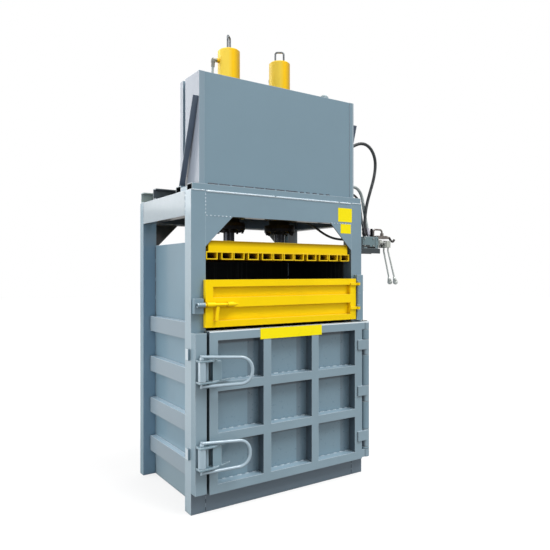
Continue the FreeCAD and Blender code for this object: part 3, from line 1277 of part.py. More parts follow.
def valve_body():
    """The valve: two sections on two feet, with spool caps and lever yokes to the right."""
    z0 = BRACKET_TOP_Z + VALVE_FOOT_HEIGHT
    x1 = VALVE_LEFT + VALVE_BODY_WIDTH
    at1 = VALVE_AT + VALVE_SECTIONS * VALVE_SECTION
    parts = [box(VALVE_LEFT + VALVE_STEP, x1 - VALVE_STEP, VALVE_AT, at1, z0, VALVE_TOP_Z)]
    for left in (VALVE_LEFT + VALVE_STEP, x1 - VALVE_STEP - VALVE_FOOT_WIDTH):
        parts.append(box(left, left + VALVE_FOOT_WIDTH, VALVE_AT, at1, BRACKET_TOP_Z, z0))
    for section in range(VALVE_SECTIONS):
        middle = section_middle(section)
        half = VALVE_SECTION / 2 - VALVE_SECTION_GROOVE
        parts.append(box(VALVE_LEFT, x1, middle - half, middle + half,
                         z0 + VALVE_STEP, VALVE_TOP_Z - VALVE_STEP))
        start = Vector(x1, depth(middle), SPOOL_Z)
        parts.append(rod(SPOOL_CAP_RADIUS, SPOOL_COLLAR_LENGTH, start, ALONG_X))
        parts.append(rod(SPOOL_RADIUS, SPOOL_CAP_LENGTH, start, ALONG_X))
        parts.append(lever_yoke(section))
    return join(parts)


def valve_lever(section):
    """A hand lever: hub on the pivot, short straight neck, leaning bar and ball."""
    middle = section_middle(section)
    pivot = Vector(LEVER_PIVOT_X, depth(middle), LEVER_PIVOT_Z)
    neck = pivot - UP * LEVER_NECK
    end = pivot + Vector(LEVER_LEANS[section], 0, -LEVER_DROP)
    hub_length = 2 * (YOKE_HALF_GAP - HINGE_END_GAP)
    hub = rod(LEVER_HUB_RADIUS, hub_length, pivot - ALONG_Y * hub_length / 2, ALONG_Y)
    start = pivot - UP * (LEVER_HUB_RADIUS - LEVER_RADIUS / 2)
    bar, length = bent_rod([start, neck, end], [LEVER_NECK], LEVER_RADIUS)
    ball = Part.makeSphere(LEVER_BALL_RADIUS, end)
    hole = rod(LEVER_PIVOT_RADIUS + HINGE_RUNNING_GAP, hub_length + 2,
               pivot - ALONG_Y * (hub_length / 2 + 1), ALONG_Y)
    return join([hub, bar, ball]).cut(hole)


def relief_valve():
    """The relief valve on the body's end: block, cartridge, bent pipe and hooked grip."""
    middle = section_middle(0)
    z0 = VALVE_TOP_Z - VALVE_STEP
    z1 = z0 + RELIEF_HEIGHT
    x0 = VALVE_LEFT + VALVE_BODY_WIDTH - VALVE_STEP
    x1 = x0 + RELIEF_LENGTH
    half = RELIEF_WIDTH / 2
    block = box(x0, x1, middle - half, middle + half, z0, z1)
    axis = Vector(x1, depth(middle), (z0 + z1) / 2)
    nut = rod(RELIEF_HEIGHT / 2, CARTRIDGE_NUT_LENGTH, axis, ALONG_X)
    cartridge = rod(CARTRIDGE_RADIUS, CARTRIDGE_LENGTH, axis, ALONG_X)
    start = axis + ALONG_X * CARTRIDGE_LENGTH
    grip_points = [start] + [start + Vector(x, 0, z) for x, z in GRIP_POINTS]
    grip, length = bent_rod(grip_points, [GRIP_BEND, GRIP_BEND], GRIP_RADIUS)
    pipe_start = Vector(x0 - PIPE_IN, depth(middle), VALVE_TOP_Z)
    pipe_end = Vector(x1 - PIPE_IN * 1.5, depth(middle), z1)
    top = VALVE_TOP_Z + PIPE_RISE
    pipe_points = [pipe_start, Vector(pipe_start.x, pipe_start.y, top),
                   Vector(pipe_end.x, pipe_end.y, top), pipe_end]
    pipe, length = bent_rod(pipe_points, [3 * PIPE_RADIUS, 3 * PIPE_RADIUS], PIPE_RADIUS)
    pipe_nut = rod(2 * PIPE_RADIUS, 3 * PIPE_RADIUS, pipe_end, UP)
    return join([block, nut, cartridge, grip, pipe, pipe_nut])


def make_hydraulics():
    save("valve_bracket", valve_bracket())
    save("valve_body", valve_body())
    save("valve_lever_front", valve_lever(0))
    save("valve_lever_rear", valve_lever(1))
    save("relief_valve", relief_valve())
    fittings = []
    for name, first, last, bows, first_stub, last_stub in hose_runs():
        points = hose_points(first, last, bows)
        radius = THICK_HOSE_RADIUS if name in THICK_HOSES else HOSE_RADIUS
        hose(name, points, radius)
        fittings.append(hose_fitting(first, points[0], first_stub, radius))
        fittings.append(hose_fitting(last, points[-1], last_stub, radius))
    save("hose_fittings", Part.makeCompound(fittings))


os.makedirs("parts", exist_ok=True)
make_frame()
make_tank()
make_cylinders_and_platen()
make_door()
make_gate()
make_hydraulics()
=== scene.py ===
"""Looks of the recycling baler: finishes, beads, plates, hoses, light and camera. Metres."""
import math
import random

import bmesh
import bpy
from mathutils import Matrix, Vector

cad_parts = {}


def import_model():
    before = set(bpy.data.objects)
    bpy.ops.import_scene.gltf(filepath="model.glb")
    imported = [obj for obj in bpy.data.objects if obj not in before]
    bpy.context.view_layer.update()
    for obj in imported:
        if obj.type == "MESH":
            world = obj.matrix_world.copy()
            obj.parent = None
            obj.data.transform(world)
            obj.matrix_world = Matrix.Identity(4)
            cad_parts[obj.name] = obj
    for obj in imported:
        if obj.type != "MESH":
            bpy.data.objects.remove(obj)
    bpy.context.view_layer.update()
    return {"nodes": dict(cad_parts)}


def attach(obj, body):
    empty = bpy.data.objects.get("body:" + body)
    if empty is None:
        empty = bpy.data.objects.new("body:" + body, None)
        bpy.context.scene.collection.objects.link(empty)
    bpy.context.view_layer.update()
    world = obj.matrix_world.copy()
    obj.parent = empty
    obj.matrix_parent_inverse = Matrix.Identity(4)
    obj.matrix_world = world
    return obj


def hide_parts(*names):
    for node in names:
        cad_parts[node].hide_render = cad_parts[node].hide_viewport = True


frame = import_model()
NODES = frame["nodes"]

# Driving places of the machine. The posts' front plane is in metres, the rest in millimetres.
FRONT_Y = -0.445
POST_OUTER = 700
POST_INNER = 600
POST_DEPTH = 88
REAR_POST_AT = 825
SILL_TOP = 124.5
LOW_WALL_TOP = 240
FRAME_TOP = 2014
BASE_TOP = 2056
BARREL_FOOT = 2030
DOOR_COLUMNS = ((-546, -210), (-151, 186), (245, 581))
DOOR_LEDGES = (183, 500, 817)
DOOR_CELL_HEIGHT = 259
LEVER_DEPTHS = {"front": 86, "rear": 134}


def place(x, at, z):
    """A point from X, distance behind the posts' front plane and Z, all in millimetres."""
    return Vector((x / 1000, FRONT_Y + at / 1000, z / 1000))


# ---- node graphs ---------------------------------------------------------

def linear(red, green, blue):
    """A linear colour from 0 to 255 screen values."""
    def one(value):
        value /= 255
        return value / 12.92 if value < 0.04045 else ((value + 0.055) / 1.055) ** 2.4
    return (one(red), one(green), one(blue), 1.0)


class Finish:
    """A material under construction: short calls for the few nodes that the finishes share."""

    def __init__(self, name, roughness, metallic=0.0, specular=0.5, coat=0.0):
        self.material = bpy.data.materials.new(name)
        self.material.use_nodes = True
        self.tree = self.material.node_tree
        self.shader = self.tree.nodes["Principled BSDF"]
        self.shader.inputs["Roughness"].default_value = roughness
        self.shader.inputs["Metallic"].default_value = metallic
        self.shader.inputs["Specular IOR Level"].default_value = specular
        self.shader.inputs["Coat Weight"].default_value = coat
        self.where = self.tree.nodes.new("ShaderNodeTexCoord").outputs["Object"]

    def put(self, kind, links=(), **values):
        node = self.tree.nodes.new(kind)
        for key, value in values.items():
            setattr(node, key, value)
        for socket, source in links:
            if hasattr(source, "is_output"):
                self.tree.links.new(source, node.inputs[socket])
            else:
                node.inputs[socket].default_value = source
        return node

    def noise(self, scale, detail=3.0, roughness=0.55, stretch=None):
        where = self.where
        if stretch:
            mapping = self.put("ShaderNodeMapping", [("Vector", where), ("Scale", stretch)])
            where = mapping.outputs[0]
        texture = self.put("ShaderNodeTexNoise", [("Vector", where), ("Scale", scale),
                                                  ("Detail", detail), ("Roughness", roughness)])
        return texture.outputs["Fac"]

    def ramp(self, source, low, high, start=0.0, end=1.0):
        """From start at low to end at high, held level beyond them."""
        node = self.put("ShaderNodeMapRange", [("Value", source), ("From Min", low),
                                               ("From Max", high), ("To Min", start),
                                               ("To Max", end)])
        return node.outputs[0]

    def math(self, operation, first, second=0.0):
        """One operation on two values. Sums and differences are held between 0 and 1."""
        return self.put("ShaderNodeMath", [(0, first), (1, second)], operation=operation,
                        use_clamp=operation in ("ADD", "SUBTRACT")).outputs[0]

    def mix(self, amount, first, second):
        node = self.put("ShaderNodeMix", data_type="RGBA")
        for socket, source in ((0, amount), (6, first), (7, second)):
            if hasattr(source, "is_output"):
                self.tree.links.new(source, node.inputs[socket])
            else:
                node.inputs[socket].default_value = source
        return node.outputs[2]

    def corners(self, distance):
        """1 deep in inner corners, 0 on open faces."""
        open_air = self.put("ShaderNodeAmbientOcclusion", [("Distance", distance)], samples=8)
        return self.ramp(open_air.outputs["AO"], 0.75, 0.25)

    def part_of(self, vector, name):
        """One of the X, Y and Z parts of a vector."""
        return self.put("ShaderNodeSeparateXYZ", [(0, vector)]).outputs[name]

    def axis(self, name):
        return self.part_of(self.where, name)

    def finish(self, colour, roughness=None, bump=None, strength=0.1, depth=0.0004):
        self.tree.links.new(colour, self.shader.inputs["Base Color"])
        if roughness is not None:
            self.tree.links.new(roughness, self.shader.inputs["Roughness"])
        if bump is not None:
            node = self.put("ShaderNodeBump", [("Height", bump), ("Strength", strength),
                                               ("Distance", depth)])
            self.tree.links.new(node.outputs[0], self.shader.inputs["Normal"])
        return self.material


def zone(f, colour, tone, amount, facing=None, soft=0.004, turn=(0.4, 0.8), **limits):
    """Lay a tone over the faces that look one way on the piece, between limits in metres.

    facing is a side such as "-Y" and turn is where the tone starts and is full, as the normal's
    part along it. soft is half the width of the blend at a limit.
    """
    mask = f.math("MULTIPLY", amount, 1.0)
    if facing:
        along = f.part_of(f.put("ShaderNodeTexCoord").outputs["Normal"], facing[1])
        sign = 1 if facing[0] == "+" else -1
        mask = f.math("MULTIPLY", mask, f.ramp(along, turn[0] * sign, turn[1] * sign))
    for name, (low, high) in limits.items():
        where = f.axis(name)
        if low is not None:
            mask = f.math("MULTIPLY", mask, f.ramp(where, low - soft, low + soft))
        if high is not None:
            mask = f.math("MULTIPLY", mask, f.ramp(where, high + soft, high - soft))
    return f.mix(mask, colour, tone)


def enamel(f, base, edge, grime, grime_amount=0.35, edge_amount=0.75, clouds=0.05, zones=()):
    """Sprayed paint: faint clouds; painted highlight on upper edges; edges lightened partly as
    wear and partly as painted highlight; painted shade on undersides, lower edges and inner
    corners.

    Each zone is a tone, its amount, the side that it faces or None, and its limits.
    """
    cloud = f.noise(1.7, 4.0)
    fine = f.noise(38.0, 5.0, 0.65)
    lighter = tuple(min(1.0, c * (1 + clouds)) for c in base[:3]) + (1.0,)
    darker = tuple(c * (1 - clouds) for c in base[:3]) + (1.0,)
    colour = f.mix(f.ramp(cloud, 0.35, 0.65), darker, lighter)
    for tone, amount, facing, limits in zones:
        colour = zone(f, colour, tone, amount, facing, **limits)
    geometry = f.put("ShaderNodeNewGeometry")
    flat = geometry.outputs["True Normal"]
    upward = f.ramp(f.part_of(flat, "Z"), 0.3, 0.7)
    downward = f.ramp(f.part_of(flat, "Z"), -0.3, -0.7)
    # Painted shade: undersides darker.
    colour = f.mix(f.math("MULTIPLY", downward, 0.55), colour, grime)
    # Painted shade in inner corners, kept off upward faces.
    corner = f.math("MULTIPLY", f.corners(0.035), f.ramp(fine, 0.2, 0.7, 0.6, 1.0))
    corner = f.math("MULTIPLY", corner, f.math("SUBTRACT", 1.0, upward))
    colour = f.mix(f.math("MULTIPLY", corner, grime_amount), colour, grime)
    soft = f.put("ShaderNodeBevel", [("Radius", 0.0055)], samples=8).outputs[0]
    same = f.put("ShaderNodeVectorMath", [(0, soft), (1, flat)], operation="DOT_PRODUCT")
    rim = f.ramp(same.outputs["Value"], 0.995, 0.86)
    height = f.part_of(soft, "Z")
    top = f.math("MULTIPLY", rim, f.ramp(height, 0.1, 0.4))
    low = f.math("MULTIPLY", rim, f.ramp(height, -0.1, -0.4))
    # Painted highlight on upper edges; on all edges partly wear and partly painted highlight.
    wear_and_highlight = f.ramp(fine, 0.3, 0.6, 0.55, 1.0)
    for edges, amount in ((rim, edge_amount * 0.35), (top, edge_amount)):
        bright = f.math("MULTIPLY", f.math("MULTIPLY", edges, wear_and_highlight), amount)
        colour = f.mix(bright, colour, edge)
    # Painted shade on lower edges.
    colour = f.mix(f.math("MULTIPLY", low, 0.6), colour, grime)
    return colour, fine


def chipped(f, colour, amount, tone):
    """Small spots where the paint has come off."""
    spots = f.ramp(f.noise(21.0, 6.0, 0.8), 0.735, 0.76)
    return f.mix(f.math("MULTIPLY", spots, amount), colour, tone)


def painted(name, base, edge, grime, chips=0.0, roughness=0.38, coat=0.7, tint=None,
            specular=0.45, dark_below=None, **looks):
    """Enamel with its gloss. Under dark_below, a height in metres, it is near black and matt:
    painted shade.
    """
    f = Finish(name, roughness, specular=specular, coat=coat)
    f.shader.inputs["Coat Roughness"].default_value = 0.12
    if tint:
        f.shader.inputs["Specular Tint"].default_value = tint
    colour, fine = enamel(f, base, edge, grime, **looks)
    if chips:
        colour = chipped(f, colour, chips, linear(70, 66, 62))
    # Painted shade: near black and matt below dark_below.
    if dark_below:
        colour = zone(f, colour, linear(11, 12, 16), 0.985, Z=(None, dark_below))
        dull = f.ramp(f.axis("Z"), dark_below, dark_below + 0.01, 0.02, specular)
        f.tree.links.new(dull, f.shader.inputs["Specular IOR Level"])
    gloss = f.ramp(fine, 0.3, 0.7, roughness - 0.05, roughness + 0.08)
    waves = f.math("MULTIPLY", f.noise(5.0, 2.0), 0.95)
    peel = f.math("ADD", waves, f.math("MULTIPLY", fine, 0.05))
    return f.finish(colour, gloss, peel, 0.25, 0.003)


GREY = linear(113, 139, 153)
DOOR_GREY = linear(126, 148, 160)
GREY_EDGE = linear(206, 220, 228)
# Tone of the painted shade on grey paint.
GREY_SHADE = linear(40, 48, 57)
SHADE = linear(18, 21, 29)
# Painted shadow: front faces below the sill top, under the door's overhang, darker.
FOOT_SHADOW = ((linear(92, 104, 116), 0.75, "-Y", {"Y": (None, FRONT_Y + 0.1),
                                             "Z": (None, SILL_TOP / 1000)}),)
YELLOW = linear(244, 208, 8)
YELLOW_EDGE = linear(255, 232, 90)
# Tone of the painted shade on yellow paint, brown-orange.
YELLOW_SHADE = linear(176, 118, 4)
YELLOW_TINT = (1.0, 0.86, 0.12, 1.0)


def grey_paint(name, *zones, base=GREY, **looks):
    return painted(name, base, GREY_EDGE, GREY_SHADE, zones=zones + FOOT_SHADOW, **looks)


machine_grey = grey_paint("machine_grey")
# Door frame: painted shade on the ribs' left sides and on its left face in the gap; painted light
# on the rails' top faces, on the door's top face and along its top front edge.
door_grey = grey_paint("door_grey", (linear(44, 57, 69), 0.86, "-X", {"X": (-0.590, None)}),
                       (SHADE, 0.95, "-X", {"X": (None, -0.603)}),
                       (linear(150, 176, 192), 0.5, "+Z", {"Y": (FRONT_Y - 0.062, None)}),
                       (linear(236, 246, 250), 0.9, "-Y", {"Z": (1.1275, None), "soft": 0.001,
                                                           "Y": (None, FRONT_Y - 0.05)}),
                       (linear(226, 236, 242), 0.95, "+Z", {"Z": (1.13, None)}),
                       base=DOOR_GREY)
cell_rights = [right / 1000 for left, right in DOOR_COLUMNS]
cell_tops = [(ledge + DOOR_CELL_HEIGHT) / 1000 for ledge in DOOR_LEDGES]
# Door skin: at each cell's right side a darker strip, a painted reflection of the rib's dark side;
# under each cell's top rail a dark band, painted shadow.
skin_grey = grey_paint("skin_grey", *[(linear(82, 99, 112), 0.6, "-Y",
                                       {"X": (right - 0.085, right)}) for right in cell_rights],
                       *[(linear(46, 55, 64), 0.8, "-Y", {"Z": (top - 0.028, top), "soft": 0.007})
                         for top in cell_tops],
                       roughness=0.3, coat=1.0, clouds=0.03)
# Painted shade on the beams' inner sides and undersides and on the rear posts' hidden faces; the
# left beam's outer side painted lighter, painted light; the rear left post's front face a bluer
# tone for its shade, painted shade.
beam_front_grey = grey_paint("beam_front_grey", (SHADE, 0.9, "+Y", {}), (SHADE, 0.9, "-Z", {}))
beam_rear_grey = grey_paint("beam_rear_grey", (SHADE, 0.9, "-Y", {}), (SHADE, 0.9, "-Z", {}))
beam_left_grey = grey_paint("beam_left_grey", (SHADE, 0.9, "+X", {}), (SHADE, 0.9, "-Z", {}),
                            (linear(150, 160, 166), 0.7, "-X", {}))
beam_right_grey = grey_paint("beam_right_grey", (SHADE, 0.9, "-X", {}), (SHADE, 0.9, "-Z", {}))
rear_left_grey = grey_paint("rear_left_grey", (linear(108, 142, 170), 0.6, "-Y", {}),
                            (SHADE, 0.5, "+X", {}))
rear_right_grey = grey_paint("rear_right_grey", (SHADE, 0.8, "-Y", {}), (SHADE, 0.6, "-X", {}))
# Oil tank: its left side painted lighter, painted light; the front's edge strips lighter.
tank_grey = grey_paint("tank_grey", (linear(140, 154, 166), 0.35, "-Y", {"X": (None, -0.601)}),
                       (linear(160, 172, 180), 0.5, "-Y", {"X": (0.622, None)}),
                       (linear(150, 156, 168), 0.85, "-X", {}), clouds=0.02, coat=0.25)
# Painted shade on the jamb's right face, on the front left post's face in the door's gap and on
# the front right post's inner face; the front left post's outer face painted lighter, painted
# light.
jamb_grey = grey_paint("jamb_grey", (SHADE, 0.95, "+X", {"X": (-0.6245, None)}), base=DOOR_GREY)
post_left_grey = grey_paint("post_left_grey",
                            (SHADE, 0.95, "-Y", {"X": (-0.626, -0.599), "Z": (0.136, 1.125)}),
                            (linear(205, 216, 222), 0.75, "-X", {"X": (None, -0.7005)}))
post_right_grey = grey_paint("post_right_grey", (linear(70, 84, 96), 0.8, "-X", {}))
# Strong painted shade in the latches' and handles' inner corners.
latch_grey = grey_paint("latch_grey", base=linear(116, 142, 154), edge_amount=0.85,
                        grime_amount=0.9, coat=1.0)
handle_grey = grey_paint("handle_grey", base=linear(150, 170, 182), edge_amount=0.6,
                         grime_amount=0.9, coat=1.0)
TUBE_WALL = 2.5
BASE_TUBES = ((0, 77), (170, 247))
# Inside the base tubes' open ends near black: painted shade.
base_grey = grey_paint("base_grey",
                       *[(linear(8, 9, 11), 0.97, None,
                          {"Y": (FRONT_Y + (front + TUBE_WALL) / 1000,
                                 FRONT_Y + (back - TUBE_WALL) / 1000),
                           "Z": ((FRAME_TOP + TUBE_WALL) / 1000, (BASE_TOP - TUBE_WALL) / 1000),
                           "soft": 0.0015}) for front, back in BASE_TUBES])
machine_yellow = painted("machine_yellow", YELLOW, YELLOW_EDGE, YELLOW_SHADE, chips=0.2,
                         roughness=0.34, coat=0.0, tint=YELLOW_TINT, grime_amount=0.75,
                         edge_amount=0.5,
                         zones=((linear(226, 190, 6), 0.7, "-Y",
                                 {"Z": (None, 1.2), "soft": 0.02}),))
# Barrels: painted shade across each, pale on the left, deep yellow in the middle, dark orange on
# the right; near black below the foot, painted shade.
barrel_yellow = painted("barrel_yellow", linear(255, 216, 82), YELLOW_EDGE, YELLOW_SHADE,
                        roughness=0.3, coat=0.0, tint=(1.0, 0.9, 0.3, 1.0), edge_amount=0.4,
                        dark_below=BARREL_FOOT / 1000,
                        zones=((linear(254, 198, 4), 0.95, "+X", {"turn": (-0.52, -0.15)}),
                               (linear(160, 120, 8), 0.75, "+X", {"turn": (-0.05, 0.5)})))
# Platen: the frame's upper front painted dark, painted shadow of the beam; the channels' insides
# under the deck near black, painted shade.
deck_yellow = painted("deck_yellow", linear(236, 198, 6), YELLOW_EDGE, YELLOW_SHADE, chips=0.2,
                      roughness=0.36, coat=0.0, tint=YELLOW_TINT, grime_amount=0.7,
                      zones=((linear(118, 84, 2), 0.88, "-Y", {"Z": (1.681, None), "soft": 0.016}),
                             (linear(20, 17, 8), 0.97, None,
                              {"Z": (None, 1.6235), "Y": (FRONT_Y + 0.040, None), "soft": 0.02})))
brace_paint = painted("brace_paint", linear(80, 93, 110), linear(150, 164, 180),
                      linear(30, 36, 46), roughness=0.45, coat=0.2, clouds=0.12)
# Crossbeam paints: the machine's grey painted darker on the front and middle beams and lighter on
# the rear beam, painted shade and painted light; dark_paint also covers the cylinders' mount
# plate.
dark_paint = painted("dark_paint", linear(58, 66, 80), linear(130, 142, 158), linear(18, 20, 26),
                     roughness=0.45, coat=0.2, clouds=0.15)
bolster_paint = painted("bolster_paint", linear(98, 108, 116), linear(150, 164, 172),
                        linear(22, 26, 32), roughness=0.45, coat=0.2)
rear_bolster_paint = painted("rear_bolster_paint", linear(168, 184, 186), linear(190, 204, 206),
                             linear(30, 34, 38), roughness=0.45, coat=0.2)
# The dark patch on the valve body's front is painted shade of a port.
valve_paint = painted("valve_paint", linear(96, 120, 126), linear(200, 212, 216),
                      linear(12, 15, 18), chips=0.3, roughness=0.35, grime_amount=0.6,
                      zones=((linear(176, 179, 170), 0.9, None, {"X": (0.940, None)}),
                             (linear(10, 11, 13), 1.0, "-Y", {"X": (0.788, 0.846), "soft": 0.001,
                                                              "Z": (1.697, 1.712)}),
                             (linear(16, 18, 20), 0.9, None, {"X": (0.900, 0.904), "soft": 0.001}),
                             (linear(30, 32, 32), 0.8, "-Y",
                              {"X": (1.022, 1.034), "soft": 0.001})))
bracket_paint = painted("bracket_paint", linear(46, 56, 60), linear(150, 160, 166),
                        linear(18, 20, 24), roughness=0.42, coat=0.3)


# The chamber's inner side, in metres: its half width, and its ends behind the front plane.
INSIDE_X = 0.6004
INSIDE_FRONT = 0.087
INSIDE_BACK = 0.8194


def inside_wall(name):
    """Outer side enamelled; inner side near black, painted shade, with scratches from sliding
    bales and less gloss.
    """
    f = Finish(name, 0.40, specular=0.4, coat=0.5)
    f.shader.inputs["Coat Roughness"].default_value = 0.15
    # Painted light: outer faces lighter near the floor and on the ribs, the ribs' tops much
    # lighter.
    ribs = ((linear(136, 154, 163), 0.75, "-X", {"Z": (None, LOW_WALL_TOP / 1000), "soft": 0.09}),
            (linear(140, 152, 161), 0.7, "-X", {"X": (None, -0.640)}),
            (linear(205, 228, 244), 0.9, "+Z", {"X": (None, -0.602), "Z": (None, 1.3)}))
    colour, _ = enamel(f, GREY, GREY_EDGE, GREY_SHADE, grime_amount=0.6, zones=ribs)
    scratch = f.noise(60.0, 4.0, stretch=(1.0, 1.0, 0.03))
    # Painted shade: the inner side near black, streaked with scratches.
    shaded_inside = f.mix(f.ramp(scratch, 0.5, 0.72), linear(38, 41, 42), linear(62, 66, 66))
    across = f.math("ABSOLUTE", f.axis("X"))
    along = f.axis("Y")
    inner = f.math("LESS_THAN", across, INSIDE_X)
    front = f.math("GREATER_THAN", along, FRONT_Y + INSIDE_FRONT)
    back = f.math("LESS_THAN", along, FRONT_Y + INSIDE_BACK)
    inner = f.math("MULTIPLY", f.math("MULTIPLY", inner, front), back)
    f.tree.links.new(f.ramp(inner, 0.0, 1.0, 0.5, 0.0), f.shader.inputs["Coat Weight"])
    f.tree.links.new(f.ramp(inner, 0.0, 1.0, 0.4, 0.1), f.shader.inputs["Specular IOR Level"])
    return f.finish(f.mix(inner, colour, shaded_inside), None, f.noise(5.0, 2.0), 0.25, 0.003)


chamber_wall = inside_wall("chamber_wall")


def steel(name, light, dark, roughness, metallic=1.0, grain=(1.0, 1.0, 1.0), zones=(),
          specular=0.5):
    """Bare or plated metal, brushed and stained. Each zone is a tone and its limits."""
    f = Finish(name, roughness, metallic=metallic, specular=specular)
    brushed = f.noise(120.0, 4.0, stretch=grain)
    stain = f.noise(14.0, 4.0)
    colour = f.mix(f.ramp(brushed, 0.35, 0.65), dark, light)
    for tone, limits in zones:
        colour = zone(f, colour, tone, 0.9, **limits)
    colour = f.mix(f.math("MULTIPLY", f.ramp(stain, 0.5, 0.75), 0.5), colour, dark)
    # Painted shade in inner corners.
    colour = f.mix(f.math("MULTIPLY", f.corners(0.02), 0.6), colour, linear(40, 38, 36))
    gloss = f.ramp(stain, 0.3, 0.7, roughness - 0.08, roughness + 0.12)
    return f.finish(colour, gloss, brushed, 0.1, 0.0002)


plated = steel("plated_steel", linear(214, 216, 212), linear(130, 134, 134), 0.32)
dull_steel = steel("dull_steel", linear(150, 156, 160), linear(84, 88, 92), 0.40, metallic=0.8)
fitting_steel = steel("fitting_steel", linear(66, 64, 68), linear(22, 21, 25), 0.34, metallic=0.6,
                      zones=((linear(206, 206, 216), {"X": (0.862, 0.902), "Z": (1.70, 1.90)}),
                             (linear(150, 150, 142), {"X": (None, 0.3), "Z": (2.5, None)})))
lever_steel = steel("lever_steel", linear(240, 244, 240), linear(176, 182, 178), 0.36,
                    metallic=0.3)
relief_steel = steel("relief_steel", linear(152, 146, 140), linear(92, 84, 82), 0.36, metallic=0.4,
                     zones=((linear(24, 24, 26), {"X": (1.068, None)}),))
cap_steel = steel("cap_steel", linear(176, 192, 196), linear(140, 156, 162), 0.5, metallic=0.2)
# Chrome darkened to near black: painted shade on the rods under the beam.
chrome = steel("rod_chrome", linear(70, 72, 78), linear(26, 28, 32), 0.24, grain=(1, 1, 0.05))
# Near-black matt steel: the valve plug's own colour; on the glands and their bolts, painted shade.
black_steel = steel("black_steel", linear(20, 21, 28), linear(9, 10, 14), 0.5, metallic=0.0,
                    specular=0.15)


def hose_skin(name, light, dark):
    """Ribbed wrapped cover with dust on it."""
    f = Finish(name, 0.5, specular=0.4)
    dust = f.noise(26.0, 5.0)
    fine = f.noise(220.0, 2.0)
    colour = f.mix(f.ramp(dust, 0.35, 0.7), dark, light)
    return f.finish(colour, None, fine, 0.25, 0.0005)


hose_black = hose_skin("hose_black", linear(78, 82, 84), linear(34, 37, 40))
hose_grey = hose_skin("hose_grey", linear(190, 198, 196), linear(140, 148, 148))


def plain_label(name, base):
    """Thin plastic sheet, bare, a little scuffed and faded in patches."""
    f = Finish(name, 0.4, specular=0.12)
    scuff = f.noise(40.0, 5.0, 0.7)
    colour = f.mix(f.ramp(scuff, 0.55, 0.8), base, tuple(c * 0.9 for c in base[:3]) + (1.0,))
    gloss = f.ramp(scuff, 0.3, 0.7, 0.34, 0.48)
    return f.finish(colour, gloss, scuff, 0.05, 0.0002)


label_yellow = plain_label("label_yellow", linear(244, 226, 10))

# ---- finishes of the solid pieces ----------------------------------------

FINISHES = {
    machine_yellow: ("gate_panel", "gate_bolt"),
    deck_yellow: ("platen_deck", "platen_frame"),
    barrel_yellow: ("cylinder_left", "cylinder_right"),
    label_yellow: ("door_label_plate",),
    dark_paint: ("cylinder_mount_plate", "crossbeam_front"),
    brace_paint: ("tank_brace_left", "tank_brace_right"),
    base_grey: ("tank_base",),
    jamb_grey: ("latch_jamb",),
    post_left_grey: ("post_front_left",),
    post_right_grey: ("post_front_right",),
    latch_grey: ("latch_bracket_upper", "latch_bracket_lower"),
    handle_grey: ("latch_handle_upper", "latch_handle_lower"),
    bolster_paint: ("crossbeam_middle",),
    rear_bolster_paint: ("crossbeam_rear",),
    bracket_paint: ("valve_bracket",),
    chamber_wall: ("side_wall_left", "side_wall_right", "rear_wall"),
    chrome: ("piston_rod_left", "piston_rod_right"),
    plated: ("cross_pipe", "hinge_pin"),
    lever_steel: ("valve_lever_front", "valve_lever_rear"),
    relief_steel: ("relief_valve",),
    dull_steel: ("lifting_eyes",),
    fitting_steel: ("hose_fittings",),
    cap_steel: ("tank_breather",),
    black_steel: ("gland_bolts", "gland_left", "gland_right"),
    valve_paint: ("valve_body",),
    door_grey: ("door_frame",),
    skin_grey: ("door_skin",),
    beam_front_grey: ("top_beam_front",),
    beam_rear_grey: ("top_beam_rear",),
    beam_left_grey: ("top_beam_left",),
    beam_right_grey: ("top_beam_right",),
    rear_left_grey: ("post_rear_left",),
    rear_right_grey: ("post_rear_right",),
    tank_grey: ("oil_tank",),
}
finish_of = {node: material for material, names in FINISHES.items() for node in names}
for name, thing in NODES.items():
    thing.data.materials.clear()
    thing.data.materials.append(finish_of.get(name, machine_grey))


def piece(name, mesh, material, body):
    """A new object from a mesh, with its finish, riding on one body."""
    thing = bpy.data.objects.new(name, mesh)
    bpy.context.scene.collection.objects.link(thing)
    thing.data.materials.append(material)
    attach(thing, body)
    return thing


# ---- weld beads ----------------------------------------------------------

def bead_mesh(name, runs, radius, pitch=0.009, sides=6):
    """Rippled weld beads along straight seams, each seam with its own gaps and wobble."""
    bm = bmesh.new()
    chance = random.Random(name)
    for start, end, dash, gap in runs:
        start, end = place(*start), place(*end)
        way = (end - start).normalized()
        side = way.cross(Vector((0.31, 0.83, 0.47))).normalized()
        other = way.cross(side)
        total, done = (end - start).length, 0.0
        while done < total:
            length = min(dash * chance.uniform(0.85, 1.15), total - done)
            rings = []
            count = max(3, int(length / pitch) * 2)
            for step in range(count + 1):
                swell = 0.35 if step in (0, count) else (1.0 if step % 2 else 0.8)
                size = radius * swell * chance.uniform(0.9, 1.1)
                centre = start + way * (done + length * step / count)
                rings.append([bm.verts.new(centre + side * math.cos(math.tau * k / sides) * size
                                           + other * math.sin(math.tau * k / sides) * size)
                              for k in range(sides)])
            for first, second in zip(rings, rings[1:]):
                for k in range(sides):
                    bm.faces.new((first[k], first[(k + 1) % sides], second[(k + 1) % sides],
                                  second[k]))
            bm.faces.new(rings[0][::-1])
            bm.faces.new(rings[-1])
            done += length + gap * chance.uniform(0.8, 1.2)
    bmesh.ops.recalc_face_normals(bm, faces=bm.faces)
    mesh = bpy.data.meshes.new(name)
    bm.to_mesh(mesh)
    bm.free()
    for face in mesh.polygons:
        face.use_smooth = True
    return mesh


def weld_finish(name, light, dark, roughness=0.45):
    f = Finish(name, roughness, specular=0.5, coat=0.3)
    speckle = f.noise(160.0, 4.0, 0.7)
    colour = f.mix(f.ramp(speckle, 0.35, 0.65), dark, light)
    return f.finish(colour, None, speckle, 0.4, 0.001)


